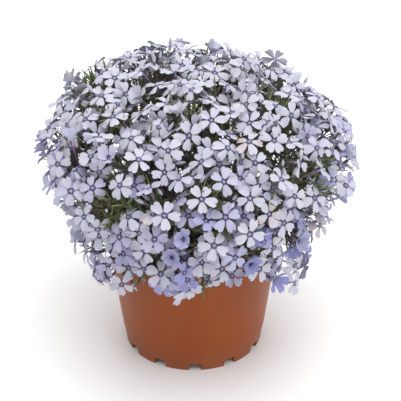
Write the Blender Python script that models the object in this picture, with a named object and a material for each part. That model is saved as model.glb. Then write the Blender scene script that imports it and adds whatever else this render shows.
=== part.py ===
"""Creeping phlox in flower, standing in its nursery pot: flowering sprays, leafy shoots, soil and pot.
Metres, +Z up, the photo's camera looks along +Y. The pot's feet stand on Z = 0."""

import math

import bmesh
import bpy
import numpy as np
from mathutils import Matrix, Vector

# Pot
SIDES = 36                    # one side is 10 degrees, so a notch and two foot sides make 30 degrees
FOOT_RADIUS = 0.0510
WALL_TAPER = 0.1336           # growth of the outer radius per metre of height
NOTCH_HEIGHT = 0.0055
NOTCH_EVERY = 3
NOTCH_TURN = math.radians(1.4)
STEP_HEIGHT = 0.0130
STEP_DEPTH = 0.0006
POT_HEIGHT = 0.1000
RIM_HEIGHT = 0.0110
RIM_OVERHANG = 0.0012
POT_WALL = 0.0016
FOOT_WALL = 0.0026
FLOOR_UNDERSIDE = 0.0070
FLOOR_THICKNESS = 0.0018
DRAIN_HOLES = 6
DRAIN_RADIUS = 0.0040
DRAIN_CIRCLE = 0.0300
DRAIN_SIDES = 8

# Soil
GAP = 0.0003                  # what keeps two pieces apart where they touch
SOIL_TOP = 0.0900
HOLE_DEPTH = 0.0120
HOLE_HALF = 0.0021

# Mound that the blooms stand on: a squarish dome over a cone that narrows to the pot's rim
MOUND_CENTRE = 0.1400
DOME_RADIUS = 0.1114
DOME_HEIGHT = 0.0735
DOME_POWER = 2.66
CONE_RADIUS = 0.1047
CONE_DEPTH = 0.2235           # how far below the mound's centre the cone would end in a point
# Swellings and dents of the mound: latitude, azimuth, angular size (degrees), height (metres)
MOUND_BUMPS = ((-40, 212, 18, 0.0080), (-36, 325, 18, 0.0075), (45, 20, 18, 0.0035), (-12, 194, 24, -0.0085),
               (-2, 357, 16, 0.0055), (22, 165, 14, -0.0040), (45, 140, 22, 0.0080), (52, 70, 20, -0.0045),
               (25, 20, 16, -0.0050), (8, 178, 20, 0.0030))
# Waves over the mound: turns round it, turns per radian of latitude, phase
WAVES = ((3, 5, 0.4), (5, -4, 2.0), (7, 6, 4.1))
WAVE_HEIGHT = 0.0024
EDGE_LATITUDE = math.radians(-34)
# Where the blooms hang deeper or stop higher: rise, azimuth, width (degrees)
EDGE_SWINGS = ((-8, 230, 34), (9, 297, 20))
PLANT_OFFSET = (-0.00386, 0.00087)   # the pot's axis, seen from the origin under the middle of the whole

# Blooms
BLOOM_COUNT = 234
BLOOM_RADIUS = 0.0100
BLOOM_SPACING = 0.0203
BLOOM_LIFT = 0.0028
BLOOM_SCATTER = 0.035         # radians that a bloom may stray from the even layout
SETTLE_ROUNDS = 400
SETTLE_PUSH = 0.45
SETTLE_MARGIN = 1.01
BLOOM_TILT = math.radians(46)
BLOOM_FOCUS = 0.0780          # height on the axis that the blooms turn their backs to
LEAST_EASE = 0.35             # cosine of the sharpest bend between a bloom's tube and its pedicel
EASE_STEP = 0.15
EASE_ROUNDS = 12
PETALS = 5
PETAL_HALF_ANGLE = math.radians(24)
PETAL_RISE = 0.0004
THROAT_RADIUS = 0.0030
THROAT_DROP = 0.0016
TUBE_LENGTH = 0.0085
PEDICEL_RADIUS = 0.0009
ROOT_RADIUS = 0.0006

# Flowering sprays
SPRAY_COUNT = 34
HUB_DEPTH = 0.0230
FOCUS_RADIUS = 0.0600
FOCUS_SHARE = 0.45
FOCUS_HEIGHT = 0.1250
BED_RADIUS = 0.0440           # the stems stand in the soil inside this circle
STEM_SIDES = 3
STEM_STEPS = 4
STEM_COLLAR = 0.0015          # a stem is straight up to this far above the soil
LEAST_RISE = 0.0140
RISE_SHARE = 0.45             # how straight up a stem starts, as a share of its height
STEM_TURN = 0.0200
LOW_HUB = 0.1250              # a spray whose hub is lower than this bends over the rim
OVER_RIM = ((0.0540, 0.1035), (0.0670, 0.1080))
LEAST_LOW_LEVEL = 0.0750
LEAST_LOW_HEIGHT = 0.1030
LOW_REACH = 0.0080
STEM_RADII = (0.0018, 0.0016, 0.0017, 0.0028, 0.0033)
BRANCH_REACH = 0.0150         # stretch at a stem's end that its pedicels grow from
SPRAY_LEAVES = 2

# Leafy shoots that hang over the rim
SHOOT_COUNT = 10
SHOOT_BED = 0.0490
SHOOT_SEARCH = math.radians(14)
SHOOT_PATH = ((0.0490, 0.0915), (0.0530, 0.1000), (0.0635, 0.1045), (0.0720, 0.1015), (0.0765, 0.0935))
SHOOT_RADIUS = 0.0015
SHOOT_TAPER = (1.15, 0.8)
SHOOT_LEAVES = 10
SIDE_LEAF = (0.62, 0.68, 0.42)   # a side leaf's lean along the shoot, sideways and outward
TIP_LEAF = (1.00, 0.30, 0.25)
TIP_SUNK = 0.0012
SHOOT_PHASE = 0.4
SHOOT_TRIES = 15
SHOOT_LEAF_FIRST = 0.0035     # distance of the first side leaf from the tip, and the step to the next
SHOOT_LEAF_STEP = 0.0040

# Leaves
LEAF_LENGTH = 0.0135
LEAF_RADIUS = 0.0010
LEAF_ROOT_SHARE = 0.5
LEAF_WIDEST = 0.35            # share of a leaf's length where it is widest
LEAF_TRIES = 6
LEAF_ALONG = 0.75             # how far a pedicel's leaf follows it, and how far it spreads from it
LEAF_ASIDE = 0.66
LEAF_FIRST = 0.55             # stretch of a pedicel that leaves grow from
LEAF_LAST = 0.85
CLEAR_OTHERS = 0.0035
CLEAR_OWN = 0.0018
CLEAR_POT = 0.0025
CLEAR_SHOOT = 0.0030
CLEAR_SHOOT_LEAF = 0.0026

GOLDEN_ANGLE = math.pi * (3 - math.sqrt(5))
UP = np.array([0.0, 0.0, 1.0])


def unit(vector):
    return vector / np.linalg.norm(vector)


def angle_between(first, second):
    """Smallest turn between two azimuths."""
    return (first - second + math.pi) % (2 * math.pi) - math.pi


def mound_distance(latitude, azimuth):
    """How far the mound's surface is from its centre in this direction."""
    level, rise = np.abs(np.cos(latitude)), np.sin(latitude)
    dome = (level / DOME_RADIUS) ** DOME_POWER + (np.abs(rise) / DOME_HEIGHT) ** DOME_POWER
    cone = level / CONE_RADIUS - rise / CONE_DEPTH
    distance = 1 / np.maximum(dome ** (1 / DOME_POWER), cone)
    for bump_latitude, bump_azimuth, size, height in MOUND_BUMPS:
        across = angle_between(azimuth, math.radians(bump_azimuth)) * np.cos(latitude)
        away = (latitude - math.radians(bump_latitude)) ** 2 + across ** 2
        distance = distance + height * np.exp(-away / math.radians(size) ** 2)
    for turns, climb, phase in WAVES:
        distance = distance + WAVE_HEIGHT * level * np.sin(turns * azimuth + climb * latitude + phase)
    return distance


def mound_point(latitude, azimuth, lift=0.0):
    distance = mound_distance(latitude, azimuth) + lift
    level = distance * np.cos(latitude)
    return np.stack([level * np.cos(azimuth), level * np.sin(azimuth),
                     MOUND_CENTRE + distance * np.sin(latitude)], axis=-1)


def lowest_latitude(azimuth):
    """The mound's lower edge, which hangs deeper at the front left and stops higher at the front right."""
    edge = EDGE_LATITUDE
    for rise, place, width in EDGE_SWINGS:
        away = angle_between(azimuth, math.radians(place)) / math.radians(width)
        edge = edge + math.radians(rise) * np.exp(-away ** 2)
    return edge


def spiral(count):
    """Latitudes and azimuths that share the mound's surface out evenly, from the top down."""
    latitudes = np.linspace(math.pi / 2, EDGE_LATITUDE, 400)
    points = mound_point(latitudes, np.zeros(400))
    strips = np.linalg.norm(np.diff(points, axis=0), axis=1) * (points[1:, 0] + points[:-1, 0]) / 2
    area = np.concatenate([[0.0], np.cumsum(strips)])
    shares = (np.arange(count) + 0.5) / count * area[-1]
    return np.interp(shares, area, latitudes), np.arange(count) * GOLDEN_ANGLE % (2 * math.pi)


def angles_of(points):
    flat = points - np.array([0.0, 0.0, MOUND_CENTRE])
    latitude = np.arctan2(flat[:, 2], np.hypot(flat[:, 0], flat[:, 1]))
    return latitude, np.arctan2(flat[:, 1], flat[:, 0])


def bloom_layout():
    """Bloom middles on the mound, pushed apart until no two can touch however they tilt."""
    draw = np.random.default_rng(11)
    latitude, azimuth = spiral(BLOOM_COUNT)
    lift = draw.uniform(-BLOOM_LIFT, BLOOM_LIFT, BLOOM_COUNT)
    latitude = latitude + draw.normal(0, BLOOM_SCATTER, BLOOM_COUNT)
    stray = draw.normal(0, BLOOM_SCATTER, BLOOM_COUNT)
    azimuth = azimuth + stray / np.maximum(np.cos(latitude), 0.2)
    points = mound_point(latitude, azimuth, lift)
    for _ in range(SETTLE_ROUNDS):
        apart = points[:, None] - points[None]
        distance = np.linalg.norm(apart, axis=2) + np.eye(BLOOM_COUNT)
        short = np.clip(BLOOM_SPACING * SETTLE_MARGIN - distance, 0, None) * (1 - np.eye(BLOOM_COUNT))
        points = points + (apart / distance[..., None] * short[..., None] * SETTLE_PUSH).sum(axis=1)
        latitude, azimuth = angles_of(points)
        latitude = np.maximum(latitude, lowest_latitude(azimuth))
        points = mound_point(latitude, azimuth, lift)
    return points


def bloom_facings(points):
    """The way each bloom looks: away from the low focus, tilted a little by the seeded rule."""
    draw = np.random.default_rng(12)
    facings = []
    for point in points:
        straight = unit(point - BLOOM_FOCUS * UP)
        sideways = unit(np.cross(straight, draw.normal(size=3)))
        tilt = draw.uniform(0, BLOOM_TILT)
        facings.append(unit(straight * math.cos(tilt) + sideways * math.sin(tilt)))
    return np.array(facings), draw.uniform(0, 2 * math.pi, len(points))


def spray_middles():
    latitude, azimuth = spiral(SPRAY_COUNT)
    return mound_point(latitude, azimuth)


def hub_of(middle):
    """Where a spray's stem ends, below the middle of its share of the mound."""
    level = math.hypot(middle[0], middle[1])
    focus_level = min(FOCUS_RADIUS, FOCUS_SHARE * level)
    focus = np.array([middle[0] / level * focus_level, middle[1] / level * focus_level, FOCUS_HEIGHT])
    hub = middle + HUB_DEPTH * unit(focus - middle)
    if hub[2] < LOW_HUB:
        hub[:2] *= max(1.0, LEAST_LOW_LEVEL / math.hypot(hub[0], hub[1]))
        hub[2] = max(hub[2], LEAST_LOW_HEIGHT)
    return hub


def bezier(first, second, third, fourth, steps):
    share = np.linspace(0, 1, steps + 1)[:, None]
    rest = 1 - share
    near = rest ** 3 * first + 3 * rest ** 2 * share * second
    return near + 3 * rest * share ** 2 * third + share ** 3 * fourth


def stem_path(index, middle):
    """A spray's stem from its hole in the soil, up past the rim, out to its hub."""
    hub = hub_of(middle)
    outward = unit(np.array([middle[0], middle[1], 0.0]))
    bed = BED_RADIUS * math.sqrt((index + 0.5) / SPRAY_COUNT)
    foot = outward * bed + (SOIL_TOP - HOLE_DEPTH + GAP) * UP
    collar = foot + (HOLE_DEPTH + STEM_COLLAR) * UP
    if hub[2] < LOW_HUB:
        bend = [outward * level + height * UP for level, height in OVER_RIM]
        return np.array([foot, collar] + bend + [hub])
    rise = collar + max(RISE_SHARE * (hub[2] - collar[2]), LEAST_RISE) * UP
    turn = hub - STEM_TURN * unit(middle - hub)
    return np.concatenate([[foot], bezier(collar, rise, turn, hub, STEM_STEPS - 1)])


def along(path, back):
    """The point this far back from the path's end."""
    for index in range(len(path) - 1, 0, -1):
        step = np.linalg.norm(path[index] - path[index - 1])
        if back <= step:
            return path[index] + (path[index - 1] - path[index]) * back / step
        back -= step
    return path[0]


def frame_of(direction):
    """Two directions square to this one."""
    other = np.array([1.0, 0.0, 0.0]) if abs(direction[0]) < 0.8 else np.array([0.0, 1.0, 0.0])
    first = unit(np.cross(direction, other))
    return first, np.cross(direction, first)


def mesh_object(name, vertices, faces):
    mesh = bpy.data.meshes.new(name)
    mesh.from_pydata([tuple(vertex) for vertex in vertices], [], faces)
    mesh.validate()
    piece = bpy.data.objects.new(name, mesh)
    bpy.context.scene.collection.objects.link(piece)
    return piece


def tube(name, path, radii, sides):
    """A closed tube of few sides along a path, its sides kept in line from ring to ring."""
    vertices = []
    first, _second = frame_of(unit(path[1] - path[0]))
    for index, point in enumerate(path):
        before = path[max(index - 1, 0)]
        after = path[min(index + 1, len(path) - 1)]
        run = unit(after - before)
        first = unit(first - run * (first @ run))
        second = np.cross(run, first)
        for side in range(sides):
            turn = 2 * math.pi * side / sides
            vertices.append(point + radii[index] * (first * math.cos(turn) + second * math.sin(turn)))
    faces = [list(range(sides))[::-1]]
    for ring in range(len(path) - 1):
        for side in range(sides):
            near, far = ring * sides + side, ring * sides + (side + 1) % sides
            faces.append([near, far, far + sides, near + sides])
    last = (len(path) - 1) * sides
    faces.append([last + side for side in range(sides)])
    return mesh_object(name, vertices, faces)


def bloom(name, middle, facing, spin, root):
    """Five wedge petals on a tube that narrows to a pedicel, whose root is sunk in the stem."""
    first, second = frame_of(facing)

    def place(radius, turn, height):
        return middle + radius * (first * math.cos(turn) + second * math.sin(turn)) + height * facing

    vertices = []
    for petal in range(PETALS):
        turn = spin + 2 * math.pi * petal / PETALS
        vertices.append(place(THROAT_RADIUS, turn - math.pi / PETALS, -THROAT_DROP))
        vertices.append(place(BLOOM_RADIUS, turn - PETAL_HALF_ANGLE, PETAL_RISE))
        vertices.append(place(BLOOM_RADIUS, turn + PETAL_HALF_ANGLE, PETAL_RISE))
    centre = len(vertices)
    vertices.append(place(0, 0, 0))
    faces = []
    for petal in range(PETALS):
        low, high = 3 * petal, 3 * ((petal + 1) % PETALS)
        faces.append([low, low + 1, centre])
        faces.append([low + 1, low + 2, centre])
        faces.append([low + 2, high, centre])
        faces.append([low, high, low + 2, low + 1])
    neck = len(vertices)
    elbow = middle - TUBE_LENGTH * facing
    run = unit(elbow - root)
    across, beside = frame_of(facing)
    for ring, point in enumerate((elbow, root)):
        for side in range(3):
            turn = spin + 2 * math.pi * side / 3
            flat = across * math.cos(turn) + beside * math.sin(turn)
            square = run if ring else unit(facing + run)
            flat = unit(flat - square * (flat @ square))
            vertices.append(point + (ROOT_RADIUS if ring else PEDICEL_RADIUS) * flat)
    # Five corners of the limb's back run into the pedicel's three
    joins = (0, 0, 1, 2, 2)
    for petal in range(PETALS):
        after = (petal + 1) % PETALS
        faces.append([3 * after, 3 * petal, neck + joins[petal]])
        if joins[petal] != joins[after]:
            faces.append([3 * after, neck + joins[petal], neck + joins[after]])
    for side in range(3):
        after = (side + 1) % 3
        faces.append([neck + after, neck + side, neck + 3 + side, neck + 3 + after])
    faces.append([neck + 3, neck + 4, neck + 5])
    return mesh_object(name, vertices, faces)


def leaf(name, root, direction, length):
    """An awl-shaped leaf of three sides, widest at a third of its length."""
    first, second = frame_of(direction)
    vertices = []
    for share, radius in ((0.0, LEAF_ROOT_SHARE * LEAF_RADIUS), (LEAF_WIDEST, LEAF_RADIUS)):
        for side in range(3):
            turn = 2 * math.pi * side / 3
            flat = first * math.cos(turn) + second * math.sin(turn)
            vertices.append(root + share * length * direction + radius * flat)
    vertices.append(root + length * direction)
    faces = [[2, 1, 0]]
    for side in range(3):
        after = (side + 1) % 3
        faces.append([side, after, after + 3, side + 3])
        faces.append([side + 3, after + 3, 6])
    return mesh_object(name, vertices, faces)


def face_out(piece):
    mesh = bmesh.new()
    mesh.from_mesh(piece.data)
    bmesh.ops.recalc_face_normals(mesh, faces=mesh.faces)
    mesh.to_mesh(piece.data)
    mesh.free()


def keep_outside(piece):
    """Leaves only the largest shell, so that hollows between crossing roots are filled."""
    mesh = bmesh.new()
    mesh.from_mesh(piece.data)
    left = set(mesh.verts)
    shells = []
    while left:
        shell = {left.pop()}
        front = list(shell)
        while front:
            for edge in front.pop().link_edges:
                found = {vertex for vertex in edge.verts if vertex in left}
                left -= found
                shell |= found
                front.extend(found)
        shells.append(shell)
    shells.sort(key=len)
    for shell in shells[:-1]:
        bmesh.ops.delete(mesh, geom=list(shell), context="VERTS")
    mesh.to_mesh(piece.data)
    mesh.free()


def fuse(base, repeats):
    """One body of a base and the repeats that grow from it."""
    holder = bpy.data.collections.new(base.name + "_repeats")
    bpy.context.scene.collection.children.link(holder)
    face_out(base)
    for repeat in repeats:
        face_out(repeat)
        bpy.context.scene.collection.objects.unlink(repeat)
        holder.objects.link(repeat)
    union = base.modifiers.new("union", "BOOLEAN")
    union.operation = "UNION"
    union.solver = "MANIFOLD"
    union.operand_type = "COLLECTION"
    union.collection = holder
    bpy.context.view_layer.update()
    graph = bpy.context.evaluated_depsgraph_get()
    fused = bpy.data.meshes.new_from_object(base.evaluated_get(graph), depsgraph=graph)
    base.modifiers.clear()
    base.data = fused
    for repeat in repeats:
        bpy.data.objects.remove(repeat, do_unlink=True)
    bpy.data.collections.remove(holder)
    keep_outside(base)
    return base


def points_on(start, end, count=8):
    share = np.linspace(0, 1, count)[:, None]
    return start + (end - start) * share


def bloom_samples(middle, facing, root):
    """Points that stand for a bloom and its pedicel in the clearance test."""
    first, second = frame_of(facing)
    turns = np.linspace(0, 2 * math.pi, 12, endpoint=False)[:, None]
    ring = first * np.cos(turns) + second * np.sin(turns)
    elbow = middle - TUBE_LENGTH * facing
    return np.concatenate([middle + BLOOM_RADIUS * ring, middle + 0.55 * BLOOM_RADIUS * ring,
                           points_on(middle, elbow, 5), points_on(elbow, root, 10)])


def clear_of(samples, others, clearance):
    if not len(others):
        return True
    gaps = np.linalg.norm(samples[:, None] - others[None], axis=2)
    return gaps.min() > clearance


def clear_of_pot(samples, clearance=CLEAR_POT):
    """No sample is in or close to the pot's wall, rim or soil."""
    level = np.hypot(samples[:, 0], samples[:, 1])
    beside = level > outer_radius(samples[:, 2]) + RIM_OVERHANG + clearance
    above = samples[:, 2] > POT_HEIGHT + clearance
    inside = level < outer_radius(SOIL_TOP) - POT_WALL - clearance
    inside &= samples[:, 2] > SOIL_TOP
    return bool((beside | above | inside).all())


def eased(middle, facing, root):
    """A bloom's facing, turned outward until its tube no longer bends sharply from its pedicel."""
    for _ in range(EASE_ROUNDS):
        run = unit(middle - TUBE_LENGTH * facing - root)
        if facing @ run > LEAST_EASE:
            break
        facing = unit(facing + EASE_STEP * unit(middle - root))
    return facing


def spray_plan():
    """For each spray its stem and blooms, and the points that the clearance test reads."""
    blooms = bloom_layout()
    facings, spins = bloom_facings(blooms)
    middles = spray_middles()
    owner = np.linalg.norm(blooms[:, None] - middles[None], axis=2).argmin(axis=1)
    plans = []
    for index, middle in enumerate(middles):
        path = stem_path(index, middle)
        plan = {"path": path, "blooms": [], "samples": []}
        fine = np.concatenate([points_on(path[k], path[k + 1], 6) for k in range(STEM_STEPS)])
        plan["samples"].append(fine)
        own = np.flatnonzero(owner == index)
        own = own[np.argsort(np.linalg.norm(blooms[own] - middle, axis=1))]
        reach = LOW_REACH if path[-1][2] < LOW_HUB else BRANCH_REACH
        for rank, number in enumerate(own):
            root = along(path, reach * (rank + 0.2) / len(own))
            facings[number] = eased(blooms[number], facings[number], root)
            plan["blooms"].append((blooms[number], facings[number], spins[number], root))
            plan["samples"].append(bloom_samples(blooms[number], facings[number], root))
        plans.append(plan)
    return plans


def leaf_choices(plan, draw):
    """Leaves that could grow from a spray's pedicels, best first."""
    choices = []
    for middle, facing, _spin, root in plan["blooms"]:
        elbow = middle - TUBE_LENGTH * facing
        run = unit(elbow - root)
        first, second = frame_of(run)
        for _ in range(LEAF_TRIES):
            turn = draw.uniform(0, 2 * math.pi)
            side = first * math.cos(turn) + second * math.sin(turn)
            direction = unit(LEAF_ALONG * run + LEAF_ASIDE * side)
            choices.append((root + (elbow - root) * draw.uniform(LEAF_FIRST, LEAF_LAST), direction))
    return [choices[number] for number in draw.permutation(len(choices))]


def add_spray_leaves(plans):
    draw = np.random.default_rng(13)
    for index, plan in enumerate(plans):
        others = np.concatenate([part for number, other in enumerate(plans) if number != index
                                 for part in other["samples"]])
        plan["leaves"] = []
        for root, direction in leaf_choices(plan, draw):
            samples = points_on(root, root + LEAF_LENGTH * direction, 9)
            own = np.concatenate([bloom_samples(*one[:2], one[3])[:24] for one in plan["blooms"]])
            spread = [points_on(*other, 5) for other in plan["leaves"]]
            near = np.concatenate([own] + spread)
            if (clear_of(samples, others, CLEAR_OTHERS) and clear_of(samples[2:], near, CLEAR_OWN)
                    and clear_of_pot(samples)):
                plan["leaves"].append((root, root + LEAF_LENGTH * direction))
                plan["samples"].append(samples)
            if len(plan["leaves"]) == SPRAY_LEAVES:
                break


def shoot_points(azimuth):
    """A leafy shoot's path at this azimuth: out of the soil, over the rim and down."""
    outward = np.array([math.cos(azimuth), math.sin(azimuth), 0.0])
    foot = outward * SHOOT_BED + (SOIL_TOP - HOLE_DEPTH + GAP) * UP
    return np.array([foot] + [outward * level + height * UP for level, height in SHOOT_PATH])


def leaning(shares, *directions):
    return unit(sum(share * direction for share, direction in zip(shares, directions)))


def shoot_leaf_ends(path, azimuth):
    """Roots and tips of a shoot's leaves, in pairs that look outward and down."""
    outward = np.array([math.cos(azimuth), math.sin(azimuth), 0.0])
    sideways = np.cross(UP, outward)
    ends = []
    for number in range(SHOOT_LEAVES - 2):
        back = SHOOT_LEAF_FIRST + SHOOT_LEAF_STEP * number
        root = along(path, back)
        half = SHOOT_LEAF_STEP / 2
        run = unit(along(path, max(back - half, 0.0)) - along(path, back + half))
        side = sideways if number % 2 else -sideways
        direction = leaning(SIDE_LEAF, run, side, outward)
        ends.append((root, root + LEAF_LENGTH * direction))
    run = unit(path[-1] - path[-2])
    for side in (-sideways, sideways):
        direction = leaning(TIP_LEAF, run, side, outward)
        ends.append((path[-1] - TIP_SUNK * run, path[-1] + LEAF_LENGTH * direction))
    return ends


def shoot_plans(sprays):
    """Leafy shoots at even turns, each moved a little to where it runs clear of the sprays."""
    taken = np.concatenate([part for plan in sprays for part in plan["samples"]])
    shoots = []
    for index in range(SHOOT_COUNT):
        best = None
        for offset in np.linspace(-SHOOT_SEARCH, SHOOT_SEARCH, SHOOT_TRIES):
            azimuth = 2 * math.pi * (index + SHOOT_PHASE) / SHOOT_COUNT + offset
            path = shoot_points(azimuth)
            fine = np.concatenate([points_on(path[k], path[k + 1], 6) for k in range(len(path) - 1)])
            gap = np.linalg.norm(fine[:, None] - taken[None], axis=2).min()
            if best is None or gap > best[0]:
                best = (gap, azimuth, path, fine)
        gap, azimuth, path, fine = best
        if gap < CLEAR_SHOOT:
            continue
        leaves = []
        for root, tip in shoot_leaf_ends(path, azimuth):
            samples = points_on(root, tip, 9)
            if clear_of(samples, taken, CLEAR_SHOOT_LEAF) and clear_of_pot(samples):
                leaves.append((root, tip))
        shoots.append({"path": path, "leaves": leaves})
        taken = np.concatenate([taken, fine] + [points_on(*ends, 9) for ends in leaves])
    return shoots


def make_spray(name, plan):
    stem = tube(name, plan["path"], STEM_RADII, STEM_SIDES)
    repeats = []
    for number, (middle, facing, spin, root) in enumerate(plan["blooms"]):
        repeats.append(bloom(f"{name}_bloom_{number}", middle, facing, spin, root))
    for number, (root, tip) in enumerate(plan["leaves"]):
        repeats.append(leaf(f"{name}_leaf_{number}", root, unit(tip - root), np.linalg.norm(tip - root)))
    return fuse(stem, repeats)


def make_shoot(name, plan):
    radii = np.linspace(*SHOOT_TAPER, len(plan["path"])) * SHOOT_RADIUS
    stem = tube(name, plan["path"], radii, 3)
    repeats = []
    for number, (root, tip) in enumerate(plan["leaves"]):
        repeats.append(leaf(f"{name}_leaf_{number}", root, unit(tip - root), np.linalg.norm(tip - root)))
    return fuse(stem, repeats)


def ring_mesh(profile, turn):
    """A profile of (radius, height) turned about Z. Its ends on the axis are single points."""
    mesh = bmesh.new()
    rings = []
    for radius, height in profile:
        if radius == 0:
            rings.append([mesh.verts.new((0, 0, height))])
            continue
        ring = []
        for side in range(SIDES):
            angle = turn + 2 * math.pi * side / SIDES
            ring.append(mesh.verts.new((radius * math.cos(angle), radius * math.sin(angle), height)))
        rings.append(ring)
    faces = []
    for near, far in zip(rings, rings[1:]):
        row = []
        for side in range(SIDES):
            after = (side + 1) % SIDES
            if len(near) == 1:
                row.append(mesh.faces.new((near[0], far[side], far[after])))
            elif len(far) == 1:
                row.append(mesh.faces.new((near[side], far[0], near[after])))
            else:
                row.append(mesh.faces.new((near[side], far[side], far[after], near[after])))
        faces.append(row)
    return mesh, faces


def finish_mesh(mesh, name):
    bmesh.ops.recalc_face_normals(mesh, faces=mesh.faces)
    data = bpy.data.meshes.new(name)
    mesh.to_mesh(data)
    mesh.free()
    piece = bpy.data.objects.new(name, data)
    bpy.context.scene.collection.objects.link(piece)
    return piece


def outer_radius(height):
    return FOOT_RADIUS + WALL_TAPER * height


def cut(piece, cutter):
    """Takes the cutter's shape out of the piece and removes the cutter."""
    difference = piece.modifiers.new("cut", "BOOLEAN")
    difference.operation = "DIFFERENCE"
    difference.solver = "EXACT"
    difference.object = cutter
    bpy.context.view_layer.update()
    graph = bpy.context.evaluated_depsgraph_get()
    result = bpy.data.meshes.new_from_object(piece.evaluated_get(graph), depsgraph=graph)
    piece.modifiers.clear()
    piece.data = result
    bpy.data.objects.remove(cutter, do_unlink=True)


def make_pot():
    """Tapered thin-walled pot: a ring of feet with notches between, a shallow step, a plain rim band."""
    floor_top = FLOOR_UNDERSIDE + FLOOR_THICKNESS
    rim_low = POT_HEIGHT - RIM_HEIGHT
    profile = [
        (0, FLOOR_UNDERSIDE),
        (outer_radius(0) - FOOT_WALL, FLOOR_UNDERSIDE),
        (outer_radius(0) - FOOT_WALL, NOTCH_HEIGHT),
        (outer_radius(NOTCH_HEIGHT), NOTCH_HEIGHT),
        (outer_radius(STEP_HEIGHT), STEP_HEIGHT),
        (outer_radius(STEP_HEIGHT) + STEP_DEPTH, STEP_HEIGHT + STEP_DEPTH),
        (outer_radius(rim_low) + STEP_DEPTH, rim_low),
        (outer_radius(rim_low) + RIM_OVERHANG, rim_low + STEP_DEPTH),
        (outer_radius(POT_HEIGHT) + RIM_OVERHANG, POT_HEIGHT),
        (outer_radius(POT_HEIGHT) - POT_WALL, POT_HEIGHT),
        (outer_radius(floor_top) - POT_WALL, floor_top),
        (0, floor_top),
    ]
    first_notch = -math.pi / 2 + NOTCH_TURN - math.pi / SIDES
    mesh, faces = ring_mesh(profile, first_notch)
    feet = [face for side, face in enumerate(faces[2]) if side % NOTCH_EVERY]
    made = bmesh.ops.extrude_face_region(mesh, geom=feet)
    moved = [item for item in made["geom"] if isinstance(item, bmesh.types.BMVert)]
    bmesh.ops.delete(mesh, geom=feet, context="FACES_ONLY")
    shrink = FOOT_RADIUS / outer_radius(NOTCH_HEIGHT)
    for vertex in moved:
        vertex.co.z = 0.0
        if math.hypot(vertex.co.x, vertex.co.y) > FOOT_RADIUS:
            vertex.co.x *= shrink
            vertex.co.y *= shrink
    pot = finish_mesh(mesh, "pot")
    for number in range(DRAIN_HOLES):
        turn = 2 * math.pi * (number + 0.5) / DRAIN_HOLES
        drill = bmesh.new()
        bmesh.ops.create_cone(drill, cap_ends=True, segments=DRAIN_SIDES, radius1=DRAIN_RADIUS,
                              radius2=DRAIN_RADIUS, depth=4 * FLOOR_THICKNESS)
        spot = Vector((DRAIN_CIRCLE * math.cos(turn), DRAIN_CIRCLE * math.sin(turn), FLOOR_UNDERSIDE))
        bmesh.ops.transform(drill, matrix=Matrix.Translation(spot), verts=drill.verts)
        cut(pot, finish_mesh(drill, "drill"))
    return pot


def make_soil(feet):
    """The filling of the pot, level on top, with a square hole for each stem."""
    low = FLOOR_UNDERSIDE + FLOOR_THICKNESS + GAP
    profile = [
        (0, low),
        (outer_radius(low) - POT_WALL - GAP, low),
        (outer_radius(SOIL_TOP) - POT_WALL - GAP, SOIL_TOP),
        (0, SOIL_TOP),
    ]
    mesh, _faces = ring_mesh(profile, -math.pi / 2 + NOTCH_TURN - math.pi / SIDES)
    centres = [vertex for vertex in mesh.verts if math.hypot(vertex.co.x, vertex.co.y) < 1e-6]
    bmesh.ops.dissolve_verts(mesh, verts=centres)
    soil = finish_mesh(mesh, "soil")
    drill = bmesh.new()
    for foot in feet:
        outward = unit(np.array([foot[0], foot[1], 0.0]))
        spot = Vector((foot[0], foot[1], SOIL_TOP))
        turned = Matrix.Translation(spot) @ Matrix.Rotation(math.atan2(outward[1], outward[0]), 4, "Z")
        sized = Matrix.Diagonal((2 * HOLE_HALF, 2 * HOLE_HALF, 2 * HOLE_DEPTH, 1))
        bmesh.ops.create_cube(drill, size=1, matrix=turned @ sized)
    cut(soil, finish_mesh(drill, "drill"))
    return soil


def material(name, colour, roughness):
    made = bpy.data.materials.new(name)
    made.use_nodes = True
    surface = made.node_tree.nodes["Principled BSDF"]
    surface.inputs["Base Color"].default_value = (*colour, 1)
    surface.inputs["Roughness"].default_value = roughness
    made.diffuse_color = (*colour, 1)
    return made


def give(piece, made):
    piece.data.materials.clear()
    piece.data.materials.append(made)


def clear_scene():
    for piece in list(bpy.data.objects):
        bpy.data.objects.remove(piece, do_unlink=True)


def main():
    clear_scene()
    sprays = spray_plan()
    add_spray_leaves(sprays)
    shoots = shoot_plans(sprays)
    pot = make_pot()
    soil = make_soil([plan["path"][0] for plan in sprays + shoots])
    give(pot, material("pot", (0.30, 0.090, 0.034), 0.42))
    give(soil, material("soil", (0.030, 0.020, 0.013), 0.95))
    pieces = [pot, soil]
    petals = material("petals", (0.55, 0.56, 0.86), 0.60)
    for index, plan in enumerate(sprays):
        pieces.append(make_spray(f"spray_{index + 1:02d}", plan))
        give(pieces[-1], petals)
    leaves = material("leaves", (0.075, 0.130, 0.035), 0.55)
    for index, plan in enumerate(shoots):
        pieces.append(make_shoot(f"leafy_shoot_{index + 1:02d}", plan))
        give(pieces[-1], leaves)
    for piece in pieces:
        piece.data.transform(Matrix.Translation(Vector((*PLANT_OFFSET, 0.0))))


main()
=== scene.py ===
"""Creeping phlox in flower in its nursery pot: fine blooms, leaves, stems, compost and pot.

Metres, +Z up, seen along +Y. The plant is laid out by the same rule as its solids."""

import math

import bpy
import numpy as np
from mathutils import Matrix, Vector


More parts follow.
